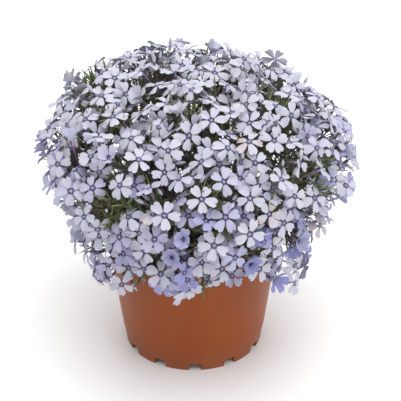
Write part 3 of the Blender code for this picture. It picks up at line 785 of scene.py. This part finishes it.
def petal_finish(name, settings, back):
    """Pale lavender petals: paler or bluer by the bloom, veined, with dark marks round the eye, painted
    shade towards each petal's foot, and backs made lighter by painted light.
    """
    finish, tree, shader = new_finish(name, 0.62, Specular_IOR_Level=0.25)
    place = new_node(tree, "ShaderNodeUVMap", uv_map="UVMap")
    parts = new_node(tree, "ShaderNodeSeparateXYZ")
    tree.links.new(place.outputs["UV"], parts.inputs["Vector"])
    across = maths(tree, "ABSOLUTE", maths(tree, "SUBTRACT", parts.outputs["X"], 0.5))
    up = parts.outputs["Y"]
    blue, pale = tuple(settings.blue), tuple(settings.pale)
    soft = tuple((first + second) / 2 for first, second in zip(blue, pale))
    colour = ramp(tree, tone_of(tree), (0.0, blue), (0.35, soft), (0.62, pale))
    warm = clamped(tree, tone_of(tree), 20.0, -19.0)
    patch = clamped(tree, variation(tree, 130.0, 500.0, 0.2), 9.0, -4.14)
    peach = tuple(share * value for share, value in zip(PEACH, pale))
    colour = mix(tree, maths(tree, "MULTIPLY", warm, patch), colour, peach)
    blotch = variation(tree, 160.0, 900.0, 0.35)
    colour = mix(tree, maths(tree, "MULTIPLY", blotch, 0.42), colour, PETAL_BLOTCH)
    # Painted shade: each petal is darker and bluer towards its foot
    base_shade = maths(tree, "POWER", maths(tree, "SUBTRACT", 1.0, up), 4.0)
    colour = mix(tree, maths(tree, "MULTIPLY", base_shade, 0.30), colour, PETAL_FOOT_SHADE)
    vein = maths(tree, "SINE", maths(tree, "MULTIPLY", across, 55.0))
    veined = maths(tree, "MULTIPLY", maths(tree, "MAXIMUM", vein, 0.0), 0.07)
    colour = mix(tree, veined, colour, PETAL_VEIN)
    if back:
        # Painted light: backs are made lighter, as if lit through the petal, and a little more lavender
        colour = mix(tree, 0.40, colour, PETAL_BACK_TINT_AND_LIGHT)
    else:
        aside, above = squared_from(tree, across, *MARK_ACROSS), squared_from(tree, up, *MARK_UP)
        away = maths(tree, "ADD", aside, above)
        colour = mix(tree, clamped(tree, away, -1.0, 2.0), colour, tuple(settings.eye))
    tree.links.new(colour, shader.inputs["Base Color"])
    bump(tree, shader, vein, 0.00004, 0.4)
    return finish


def eye_finish():
    finish, tree, shader = new_finish("phlox eye", 0.6)
    colour = ramp(tree, variation(tree, 500.0, 2600.0, 0.5), (0.40, EYE_DARK), (0.62, EYE_PALE))
    tree.links.new(colour, shader.inputs["Base Color"])
    return finish


def tube_finish(settings):
    finish, tree, shader = new_finish("phlox tube", 0.6)
    patches = variation(tree, 300.0, 1500.0, 0.4)
    colour = ramp(tree, patches, (0.3, tuple(settings.blue)), (0.7, TUBE_PALE))
    tree.links.new(colour, shader.inputs["Base Color"])
    return finish


def plant_finish(name, colour, ages, roughness):
    """Leaf, stem or calyx: fresh or dry by the piece's tone, darker and paler in soft patches."""
    fresh, dry = ages
    finish, tree, shader = new_finish(name, roughness)
    patches = variation(tree, 220.0, 1600.0, 0.4)
    dark, light = shade(colour, 0.45), shade(colour, 1.7)
    surface = ramp(tree, patches, (0.30, dark), (0.50, colour), (0.70, light))
    surface = mix(tree, clamped(tree, tone_of(tree), 2.2, -1.3), surface, dry)
    surface = mix(tree, clamped(tree, tone_of(tree), -3.5, 1.0), surface, fresh)
    tree.links.new(surface, shader.inputs["Base Color"])
    bump(tree, shader, patches, 0.0001, 0.5)
    return finish


def pot_finish(settings):
    """Satin terracotta-coloured plastic, faintly patchy, with dust towards the foot."""
    finish, tree, shader = new_finish("pot plastic", 0.42, Specular_IOR_Level=0.25)
    patches = variation(tree, 26.0, 1400.0, 0.35)
    base = tuple(settings.colour)
    colour = ramp(tree, patches, (0.30, shade(base, 0.86)), (0.50, base), (0.72, shade(base, 1.10)))
    place = new_node(tree, "ShaderNodeTexCoord")
    parts = new_node(tree, "ShaderNodeSeparateXYZ")
    tree.links.new(place.outputs["Object"], parts.inputs["Vector"])
    dust = clamped(tree, parts.outputs["Z"], -1 / DUST_HEIGHT, 1.0)
    dusty = maths(tree, "MULTIPLY", dust, maths(tree, "MULTIPLY", patches, 0.35))
    colour = mix(tree, dusty, colour, POT_DUST)
    tree.links.new(colour, shader.inputs["Base Color"])
    roughness = maths(tree, "ADD", 0.32, maths(tree, "MULTIPLY", patches, 0.22))
    tree.links.new(roughness, shader.inputs["Roughness"])
    bump(tree, shader, patches, 0.00005, 0.5)
    return finish


def compost_finish(settings):
    finish, tree, shader = new_finish("compost", 0.95)
    patches = variation(tree, 260.0, 1500.0, 0.5)
    base = tuple(settings.compost)
    colour = ramp(tree, patches, (0.35, shade(base, 0.4)), (0.52, base), (0.66, BARK), (0.74, FIBRE))
    tree.links.new(colour, shader.inputs["Base Color"])
    bump(tree, shader, patches, 0.001, 1.0)
    return finish


def floor_finish(settings):
    finish, tree, shader = new_finish("pale floor", 0.9)
    base = tuple(settings.floor)
    colour = ramp(tree, variation(tree, 3.0, 60.0, 0.2), (0.0, shade(base, 0.985)), (1.0, base))
    tree.links.new(colour, shader.inputs["Base Color"])
    return finish


# Pot
def extrude(extruder, rise, share, **pivot):
    """Extrudes what is selected up or down and changes its width."""
    extruder(TRANSFORM_OT_translate={"value": (0, 0, rise)})
    bpy.ops.transform.resize(value=(share, share, 1), **pivot)


def select_faces(piece, wanted):
    """Opens a piece in edit mode with the wanted faces selected and nothing else."""
    bpy.ops.object.mode_set(mode="EDIT")
    bpy.ops.mesh.select_mode(type="FACE")
    bpy.ops.mesh.select_all(action="DESELECT")
    bpy.ops.object.mode_set(mode="OBJECT")
    for polygon in piece.data.polygons:
        polygon.select = wanted(polygon)
    bpy.ops.object.mode_set(mode="EDIT")


def pot_profile():
    """Radii and heights of the pot's surface, from its floor's underside round to the floor's top."""
    rim_low = POT_HEIGHT - RIM_HEIGHT
    floor_top = FLOOR_UNDERSIDE + FLOOR_THICKNESS
    return (
        (outer_radius(0) - FOOT_WALL, FLOOR_UNDERSIDE),
        (outer_radius(0) - FOOT_WALL, NOTCH_HEIGHT),
        (outer_radius(NOTCH_HEIGHT), NOTCH_HEIGHT),
        (outer_radius(STEP_HEIGHT), STEP_HEIGHT),
        (outer_radius(STEP_HEIGHT) + STEP_DEPTH, STEP_HEIGHT + STEP_DEPTH),
        (outer_radius(rim_low) + STEP_DEPTH, rim_low),
        (outer_radius(rim_low) + RIM_OVERHANG, rim_low + STEP_DEPTH),
        (outer_radius(POT_HEIGHT) + RIM_OVERHANG, POT_HEIGHT),
        (outer_radius(POT_HEIGHT) - POT_WALL, POT_HEIGHT),
        (outer_radius(floor_top) - POT_WALL, floor_top),
    )


def in_notch(place):
    """Whether a face of the foot ring belongs to a notch, counted round from the front."""
    turn = math.atan2(place.y, place.x) + math.pi / 2 - NOTCH_TURN
    step = turn / (2 * math.pi / NOTCHES) + NOTCH_SHARE / 2
    return (step % 1) < NOTCH_SHARE


class PHLOX_OT_pot(bpy.types.Operator):
    """Makes the tapered pot with its ring of feet, step, rim band and drain holes"""
    bl_idname = "phlox.make_pot"
    bl_label = "Make Pot"

    def execute(self, context):
        settings = context.scene.phlox_pot
        profile = pot_profile()
        deselect()
        bpy.ops.mesh.primitive_circle_add(
            vertices=settings.sides, radius=profile[0][0], fill_type="NGON",
            location=(0, 0, profile[0][1]), rotation=(0, 0, NOTCH_TURN))
        pot = named("pot_shell")
        apply_place(pot)
        bpy.ops.object.mode_set(mode="EDIT")
        bpy.ops.mesh.select_mode(type="EDGE")
        bpy.ops.mesh.select_all(action="SELECT")
        for (radius, height), (next_radius, next_height) in zip(profile, profile[1:]):
            extrude(bpy.ops.mesh.extrude_edges_move, next_height - height, next_radius / radius,
                    center_override=(0, 0, 0))
        bpy.ops.mesh.edge_face_add()
        sole = outer_radius(0) - FOOT_WALL
        select_faces(pot, lambda face: abs(face.center.z - NOTCH_HEIGHT) < 1e-5
                     and math.hypot(face.center.x, face.center.y) > sole
                     and not in_notch(face.center))
        share = FOOT_RADIUS / outer_radius(NOTCH_HEIGHT)
        extrude(bpy.ops.mesh.extrude_region_move, -NOTCH_HEIGHT, share, center_override=(0, 0, 0))
        bpy.ops.object.mode_set(mode="OBJECT")
        recalculate(pot)
        self.drill_drains(pot)
        apply_modifier(pot, "BEVEL", width=settings.edge_round, segments=2, limit_method="ANGLE",
                       angle_limit=math.radians(40), harden_normals=False)
        smooth(pot, 35)
        give(pot, pot_finish(settings))
        ride_on_plant(pot, "pot", "pot")
        return {"FINISHED"}

    def drill_drains(self, pot):
        drills = []
        for number in range(DRAIN_HOLES):
            turn = 2 * math.pi * (number + 0.5) / DRAIN_HOLES
            deselect()
            bpy.ops.mesh.primitive_cylinder_add(
                vertices=DRAIN_SIDES, radius=DRAIN_RADIUS, depth=4 * FLOOR_THICKNESS,
                location=(DRAIN_CIRCLE * math.cos(turn), DRAIN_CIRCLE * math.sin(turn), FLOOR_UNDERSIDE))
            drills.append(bpy.context.object)
        drill = join("drill", drills)
        apply_modifier(pot, "BOOLEAN", operation="DIFFERENCE", object=drill)
        drop([drill])


class PHLOX_OT_soil(bpy.types.Operator):
    """Makes the crumbly compost that fills the pot"""
    bl_idname = "phlox.make_soil"
    bl_label = "Make Soil"

    def execute(self, context):
        low = FLOOR_UNDERSIDE + FLOOR_THICKNESS + GAP
        wide = outer_radius(SOIL_TOP) - POT_WALL - GAP
        deselect()
        bpy.ops.mesh.primitive_cone_add(
            vertices=SOIL_SIDES, radius1=outer_radius(low) - POT_WALL - GAP, radius2=wide,
            depth=SOIL_TOP - low, location=(0, 0, (SOIL_TOP + low) / 2))
        soil = named("compost")
        apply_place(soil)
        select_faces(soil, lambda face: face.normal.z > 0.9)
        for _ in range(SOIL_RINGS):
            bpy.ops.mesh.inset(thickness=wide / (SOIL_RINGS + 1))
        bpy.ops.object.mode_set(mode="OBJECT")
        draw = np.random.default_rng(SOIL_SEED)
        for vertex in soil.data.vertices:
            level = math.hypot(vertex.co.x, vertex.co.y)
            if vertex.co.z > SOIL_TOP - 1e-5 and level < wide - 1e-4:
                vertex.co.z += draw.uniform(*CRUMBS)
        smooth(soil, 60)
        give(soil, compost_finish(context.scene.phlox_pot))
        ride_on_plant(soil, "soil", "soil")
        return {"FINISHED"}


# Blooms
def petal_point(across, up, settings, curl, cup):
    """Where a point of the flat grid goes on a petal: across -1 to 1, up 0 to 1."""
    radius, half_width = settings.radius, settings.petal_width
    widen = math.sin(math.pi / 2 * min(up / WIDEST, 1.0)) ** FULLNESS
    half = CLAW_HALF + (half_width - CLAW_HALF) * widen
    cut = CORNER_CUT * abs(across) ** 3 + CLEFT_CUT * max(0.0, 1 - abs(across) / CLEFT_HALF)
    reach = THROAT_RADIUS + (radius - THROAT_RADIUS) * up - up ** 3 * radius * cut
    height = curl * up ** 2 + cup * half_width * (across * half / half_width) ** 2
    return Vector((across * half, reach, height))


def make_petal(settings, curl, cup, finishes):
    columns, rows = PETAL_GRID
    deselect()
    bpy.ops.mesh.primitive_grid_add(x_subdivisions=columns, y_subdivisions=rows, size=2, calc_uvs=True)
    petal = named("petal")
    for vertex in petal.data.vertices:
        vertex.co = petal_point(vertex.co.x, (vertex.co.y + 1) / 2, settings, curl, cup)
    give(petal, *finishes)
    apply_modifier(petal, "SOLIDIFY", thickness=PETAL_THICKNESS, offset=-1, material_offset=1)
    smooth(petal, 50)
    return petal


def make_cone(name, shape, finish):
    """A cone up the Z axis, whose shape is its sides, lower and upper radius, bottom and top."""
    sides, low, high, bottom, top = shape
    deselect()
    bpy.ops.mesh.primitive_cone_add(vertices=sides, radius1=low, radius2=high, depth=top - bottom,
                                    location=(0, 0, (bottom + top) / 2))
    cone = named(name)
    give(cone, finish)
    apply_place(cone)
    return cone


def make_bloom(number, settings, finishes, draw, opening):
    """A bloom of five petals that differ a little. Opening folds them up or back."""
    parts = [make_cone(name, shape, finishes[name])
             for name, shape in (("tube", TUBE), ("calyx", CALYX), ("eye", EYE))]
    for part in parts:
        smooth(part, 60)
    curl = draw.uniform(*BLOOM_CURL)
    for petal in range(PETALS):
        own_curl = curl + draw.uniform(-PETAL_CURL, PETAL_CURL)
        own_cup = draw.uniform(*PETAL_CUP)
        blade = make_petal(settings, own_curl, own_cup, (finishes["petal"], finishes["back"]))
        turn = 2 * math.pi * petal / PETALS + draw.uniform(-PETAL_TURN, PETAL_TURN)
        tip = Matrix.Rotation(opening + draw.uniform(*PETAL_TIP), 4, "X")
        roll = Matrix.Rotation(draw.uniform(-PETAL_ROLL, PETAL_ROLL), 4, "Y")
        size = Matrix.Scale(draw.uniform(*PETAL_SIZES), 4)
        blade.data.transform(Matrix.Rotation(turn, 4, "Z") @ tip @ roll @ size)
        parts.append(blade)
    return join(f"bloom_{number}", parts)


def make_bud(finishes):
    """A furled bud: a pointed twist of petals out of its calyx."""
    calyx = make_cone("bud_calyx", BUD_CALYX, finishes["calyx"])
    furl = make_cone("bud_furl", FURL, finishes["back"])
    select_faces(furl, lambda face: face.normal.z > 0.9)
    extrude(bpy.ops.mesh.extrude_region_move, *FURL_POINT)
    bpy.ops.object.mode_set(mode="OBJECT")
    for part in (calyx, furl):
        smooth(part, 60)
    return join("bud", [calyx, furl])


# Foliage
def make_leaf(finish):
    """An awl-shaped leaf, flat on top and keeled below, widest at a third of its length."""
    deselect()
    radius, thickness = LEAF_BASE
    bpy.ops.mesh.primitive_cylinder_add(vertices=3, radius=radius, depth=thickness, location=(0, 0, 0))
    leaf = named("leaf")
    select_faces(leaf, lambda face: face.normal.z > 0.9)
    for rise, share in LEAF_STEPS:
        extrude(bpy.ops.mesh.extrude_region_move, rise * LEAF_LENGTH, share)
    bpy.ops.object.mode_set(mode="OBJECT")
    for vertex in leaf.data.vertices:
        up = vertex.co.z / LEAF_LENGTH
        vertex.co.y = LEAF_FLAT * vertex.co.y - LEAF_BEND * up ** 2
    smooth(leaf, 70)
    give(leaf, finish)
    return leaf


def make_twig(number, leaf, finishes, draw):
    """A leafy twig that stands on the origin, its leaves in crossed pairs that close up at the tip."""
    lean = draw.uniform(-TWIG_LEAN, TWIG_LEAN, 2)

    def point_at(share):
        return np.array([*(lean * share ** 2), TWIG_LENGTH * share])

    points = [point_at(share) for share in np.linspace(0, 1, TWIG_STEPS)]
    radii = np.linspace(*TWIG_RADII, TWIG_STEPS)
    parts = [curve_tubes("twig_stem", [(points, radii)], finishes["stem"])]
    for pair in range(TWIG_PAIRS):
        share = TWIG_BARE + (1 - TWIG_BARE) * (pair + 0.5) / TWIG_PAIRS
        spread = math.radians(TWIG_TILT[0] + TWIG_TILT[1] * share)
        for side in (0, 1):
            turn = math.pi / 2 * pair + math.pi * side + draw.uniform(-TWIG_TURN, TWIG_TURN)
            tilt = spread + draw.uniform(-LEAF_STRAY, LEAF_STRAY)
            turned = Matrix.Rotation(turn, 4, "Z") @ Matrix.Rotation(tilt, 4, "X")
            size = Matrix.Scale(draw.uniform(*TWIG_LEAF_SIZES), 4)
            place = Matrix.Translation(Vector(point_at(share))) @ turned @ size
            parts.append(copy_of(leaf, place, draw.uniform(0, 1)))
    return join(f"twig_{number}", parts)


def twig_targets(plan, count, draw, sink):
    """Points below the mound round a spray's middle that its twigs grow towards."""
    latitude, azimuth = angles_of(plan["middle"][None])
    targets = []
    for _ in range(count):
        away = TWIG_AWAY * math.sqrt(draw.uniform(0, 1))
        turn = draw.uniform(0, 2 * math.pi)
        high = latitude[0] + away * math.sin(turn)
        aside = azimuth[0] + away * math.cos(turn) / max(math.cos(latitude[0]), LEAST_NEAR_COSINE)
        high = max(min(high, math.pi / 2), lowest_latitude(aside) - TWIG_DROP)
        targets.append(mound_point(high, aside, -draw.uniform(*sink)))
    return targets


def leafy_targets(plans, draw):
    """For each spray the points that its twigs in the leafy places grow towards."""
    middles = np.array([plan["middle"] for plan in plans])
    targets = [[] for _ in plans]
    for latitude, azimuth, radius in LEAFY_PLACES:
        for _ in range(LEAFY_TWIGS):
            away = math.radians(radius) * math.sqrt(draw.uniform(0, 1))
            turn = draw.uniform(0, 2 * math.pi)
            high = min(math.radians(latitude) + away * math.sin(turn), math.pi / 2)
            aside = math.radians(azimuth) + away * math.cos(turn) / max(math.cos(high), LEAST_NEAR_COSINE)
            target = mound_point(high, aside, -draw.uniform(*LEAFY_SINK))
            targets[np.linalg.norm(middles - target, axis=1).argmin()].append(target)
    return targets


def pedicel_run(root, middle, facing):
    """A pedicel that leaves the stem and bends into the bloom's tube."""
    elbow = middle - (TUBE_LENGTH - PEDICEL_OVERLAP) * facing
    reach = np.linalg.norm(elbow - root)
    bend = elbow - PEDICEL_BEND * reach * facing
    path = bezier(root, (root + bend) / 2, bend, elbow, PEDICEL_STEPS)
    return path, np.linspace(*PEDICEL_RADII, PEDICEL_STEPS + 1)


def fine_path(points, steps=3):
    """The same path with its corners rounded by a smooth curve through its points."""
    ends = [points[0], *points, points[-1]]
    share = np.arange(steps)[:, None] / steps
    fine = []
    for before, first, second, after in zip(ends, ends[1:], ends[2:], ends[3:]):
        slope = (second - before) * share
        bend = (2 * before - 5 * first + 4 * second - after) * share ** 2
        turn = (3 * first - before - 3 * second + after) * share ** 3
        fine.extend((2 * first + slope + bend + turn) / 2)
    return [*fine, points[-1]]


class PHLOX_OT_sprays(bpy.types.Operator):
    """Makes the flowering sprays: blooms, buds, pedicels, stems and leafy twigs"""
    bl_idname = "phlox.make_sprays"
    bl_label = "Make Sprays"

    def execute(self, context):
        blooms = context.scene.phlox_blooms
        foliage = context.scene.phlox_foliage
        draw = np.random.default_rng(SPRAY_SEED)
        finishes = plant_finishes(blooms, foliage)
        plans = spray_plan()
        add_blooms_between(plans, blooms.between)
        bloom_kinds = [make_bloom(number, blooms, finishes, draw, opening)
                       for number, opening in enumerate(OPENINGS)]
        leaf = make_leaf(finishes["leaf"])
        twig_kinds = [make_twig(number, leaf, finishes, draw) for number in range(TWIG_VARIANTS)]
        bud = make_bud(finishes)
        leafy = leafy_targets(plans, draw)
        for index, plan in enumerate(plans):
            plan["leafy"] = leafy[index]
            name = f"spray_{index + 1:02d}"
            self.make_blooms(name, plan, bloom_kinds, draw)
            self.make_foliage(name, plan, twig_kinds, bud, finishes, foliage.twigs, draw)
        drop(bloom_kinds + twig_kinds + [leaf, bud])
        return {"FINISHED"}

    def make_blooms(self, name, plan, kinds, draw):
        copies = []
        for middle, facing, spin, _root, sunk in plan["blooms"]:
            closed = draw.uniform() < CLOSED_SHARE
            kind = kinds[draw.integers(OPEN_KINDS, len(kinds)) if closed else draw.integers(OPEN_KINDS)]
            place = facing_matrix(middle, facing, spin, draw.uniform(*BLOOM_SIZES))
            blue = closed or draw.uniform() < BLUE_SHARE
            tone = draw.uniform(*(BLUE_TONES if blue else PALE_TONES))
            # Painted shade: blooms sunk below the mound get a darker, bluer tone
            tone *= 1 - SUNK_PAINTED_SHADE * sunk
            # Painted light: blooms near the top of the mound are made paler
            tone += TOP_PAINTED_LIGHT_PULL * np.interp(middle[2], TOP_LEVEL, (0, 1)) * (TOP_PAINTED_LIGHT_TONE - tone)
            if draw.uniform() < PEACH_SHARE:
                tone = 1.0
            copies.append(copy_of(kind, place, tone))
        piece = join(name + "_blooms", copies)
        ride_on_plant(piece, "blooms", name)

    def make_foliage(self, name, plan, kinds, bud, finishes, twigs, draw):
        path = fine_path(plan["path"])
        runs = [(path, np.interp(np.linspace(0, 1, len(path)), *STEM_RADII))]
        runs += [pedicel_run(root, middle, facing) for middle, facing, _, root, _ in plan["blooms"]]
        parts = [curve_tubes(name + "_stems", runs, finishes["stem"])]
        targets = twig_targets(plan, twigs, draw, TWIG_SINK)
        targets += twig_targets(plan, INNER_TWIGS, draw, INNER_SINK) + plan["leafy"]
        stem_length = np.linalg.norm(plan["path"][-1] - plan["path"][1])
        for target in targets:
            root = along(plan["path"], draw.uniform(0, TWIG_ROOTS) * stem_length)
            run = unit(target - root)
            scale = np.clip(np.linalg.norm(target - root) / TWIG_LENGTH, *TWIG_SCALES)
            place = facing_matrix(target - scale * TWIG_LENGTH * run, run, draw.uniform(*SPINS), scale)
            parts.append(copy_of(kinds[draw.integers(len(kinds))], place, draw.uniform(0, 1)))
        for target in twig_targets(plan, BUDS, draw, BUD_SINK):
            straight = unit(target - plan["path"][-1])
            place = facing_matrix(target, straight, draw.uniform(*SPINS), draw.uniform(*BUD_SIZES))
            parts.append(copy_of(bud, place, draw.uniform(0, 1)))
        piece = join(name + "_foliage", parts)
        ride_on_plant(piece, "foliage", name)


class PHLOX_OT_shoots(bpy.types.Operator):
    """Makes the leafy shoots that hang over the pot's rim"""
    bl_idname = "phlox.make_shoots"
    bl_label = "Make Leafy Shoots"

    def execute(self, context):
        draw = np.random.default_rng(SHOOT_SEED)
        finishes = plant_finishes(context.scene.phlox_blooms, context.scene.phlox_foliage)
        leaf = make_leaf(finishes["leaf"])
        for node in sorted(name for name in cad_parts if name.startswith("leafy_shoot")):
            self.make_shoot(node, leaf, finishes, draw)
        drop([leaf])
        return {"FINISHED"}

    def make_shoot(self, node, leaf, finishes, draw):
        low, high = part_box(node)
        middle = (low + high) / 2
        azimuth = math.atan2(middle.y - PLANT_OFFSET[1], middle.x - PLANT_OFFSET[0])
        outward = np.array([math.cos(azimuth), math.sin(azimuth), 0.0])
        foot = outward * SHOOT_BED + (SOIL_TOP - HOLE_DEPTH + GAP) * UP
        path = fine_path([foot] + [outward * level + height * UP for level, height in SHOOT_PATH], 5)
        radii = np.linspace(*SHOOT_RADII, len(path))
        parts = [curve_tubes(node + "_stem", [(path, radii)], finishes["stem"])]
        for pair in range(SHOOT_PAIRS):
            back = SHOOT_LEAFY * pair / SHOOT_PAIRS
            run = unit(along(path, max(back - 0.001, 0)) - along(path, back + 0.001))
            spread = math.radians(SHOOT_TILT[0] + SHOOT_TILT[1] * pair / SHOOT_PAIRS)
            for side in (0, 1):
                turn = math.pi / 2 * pair + math.pi * side + draw.uniform(-SHOOT_TURN, SHOOT_TURN)
                tilt = Matrix.Rotation(spread + draw.uniform(-LEAF_STRAY, LEAF_STRAY), 4, "X")
                size = Matrix.Scale(draw.uniform(*SHOOT_LEAF_SIZES), 4)
                place = facing_matrix(along(path, back), run, turn) @ tilt @ size
                parts.append(copy_of(leaf, place, draw.uniform(0, 1)))
        piece = join(node + "_fine", parts)
        ride_on_plant(piece, "foliage", node)


def plant_finishes(blooms, foliage):
    return {
        "petal": petal_finish("phlox petal", blooms, False),
        "back": petal_finish("phlox petal back", blooms, True),
        "eye": eye_finish(),
        "tube": tube_finish(blooms),
        "calyx": plant_finish("phlox calyx", tuple(foliage.calyx), CALYX_AGES, 0.6),
        "leaf": plant_finish("phlox leaf", tuple(foliage.leaf), LEAF_AGES, 0.5),
        "stem": plant_finish("phlox stem", tuple(foliage.stem), STEM_AGES, 0.6),
    }


# Stage
class PHLOX_OT_stage(bpy.types.Operator):
    """Makes the pale floor, the soft lamps and the camera"""
    bl_idname = "phlox.make_stage"
    bl_label = "Make Stage"

    def execute(self, context):
        settings = context.scene.phlox_stage
        deselect()
        bpy.ops.mesh.primitive_plane_add(size=FLOOR_SIZE, location=(0, 0, 0))
        floor = named("floor")
        give(floor, floor_finish(settings))
        context.scene.view_settings.view_transform = "Standard"
        world = bpy.data.worlds.new("studio")
        world.use_nodes = True
        background = world.node_tree.nodes["Background"]
        background.inputs["Color"].default_value = (1, 1, 1, 1)
        background.inputs["Strength"].default_value = settings.sky
        context.scene.world = world
        self.add_lamp(*KEY_LAMP, settings.key)
        self.add_lamp(*FILL_LAMP, settings.fill)
        self.add_lamp(*RIM_LAMP, settings.rim)
        self.make_camera(context)
        return {"FINISHED"}

    def add_lamp(self, place, size, power):
        bpy.ops.object.light_add(type="AREA", location=place)
        lamp = bpy.context.object
        lamp.data.size = size
        lamp.data.energy = power
        lamp.rotation_euler = (Vector(LAMP_AIM) - lamp.location).to_track_quat("-Z", "Y").to_euler()

    def make_camera(self, context):
        aim = Vector(VIEW_AIM) + Vector((*PLANT_OFFSET, 0))
        back = Vector((0, -math.cos(VIEW_ELEVATION), math.sin(VIEW_ELEVATION)))
        bpy.ops.object.camera_add(location=aim + VIEW_DISTANCE * back)
        camera = bpy.context.object
        camera.rotation_euler = (-back).to_track_quat("-Z", "Y").to_euler()
        camera.data.lens = VIEW_LENS
        camera.data.sensor_width = SENSOR
        context.scene.camera = camera


class PHLOX_PT_panel(bpy.types.Panel):
    bl_label = "Phlox in a Pot"
    bl_idname = "PHLOX_PT_panel"
    bl_space_type = "VIEW_3D"
    bl_region_type = "UI"
    bl_category = "Phlox"

    def draw(self, context):
        for operator in OPERATORS:
            self.layout.operator(operator.bl_idname)
        for name, group in SETTINGS.items():
            box = self.layout.box()
            for key in group.__annotations__:
                box.prop(getattr(context.scene, name), key)


OPERATORS = (PHLOX_OT_pot, PHLOX_OT_soil, PHLOX_OT_sprays, PHLOX_OT_shoots, PHLOX_OT_stage)
SETTINGS = {"phlox_pot": PhloxPotSettings, "phlox_blooms": PhloxBloomSettings,
            "phlox_foliage": PhloxFoliageSettings, "phlox_stage": PhloxStageSettings}


def register():
    for group in (*SETTINGS.values(), *OPERATORS, PHLOX_PT_panel):
        bpy.utils.register_class(group)
    for name, group in SETTINGS.items():
        setattr(bpy.types.Scene, name, bpy.props.PointerProperty(type=group))


def unregister():
    for name in SETTINGS:
        delattr(bpy.types.Scene, name)
    for group in (PHLOX_PT_panel, *reversed(OPERATORS), *reversed(SETTINGS.values())):
        bpy.utils.unregister_class(group)


def main():
    register()
    for operator in OPERATORS:
        family, action = operator.bl_idname.split(".")
        getattr(getattr(bpy.ops, family), action)()


if __name__ == "__main__":
    main()
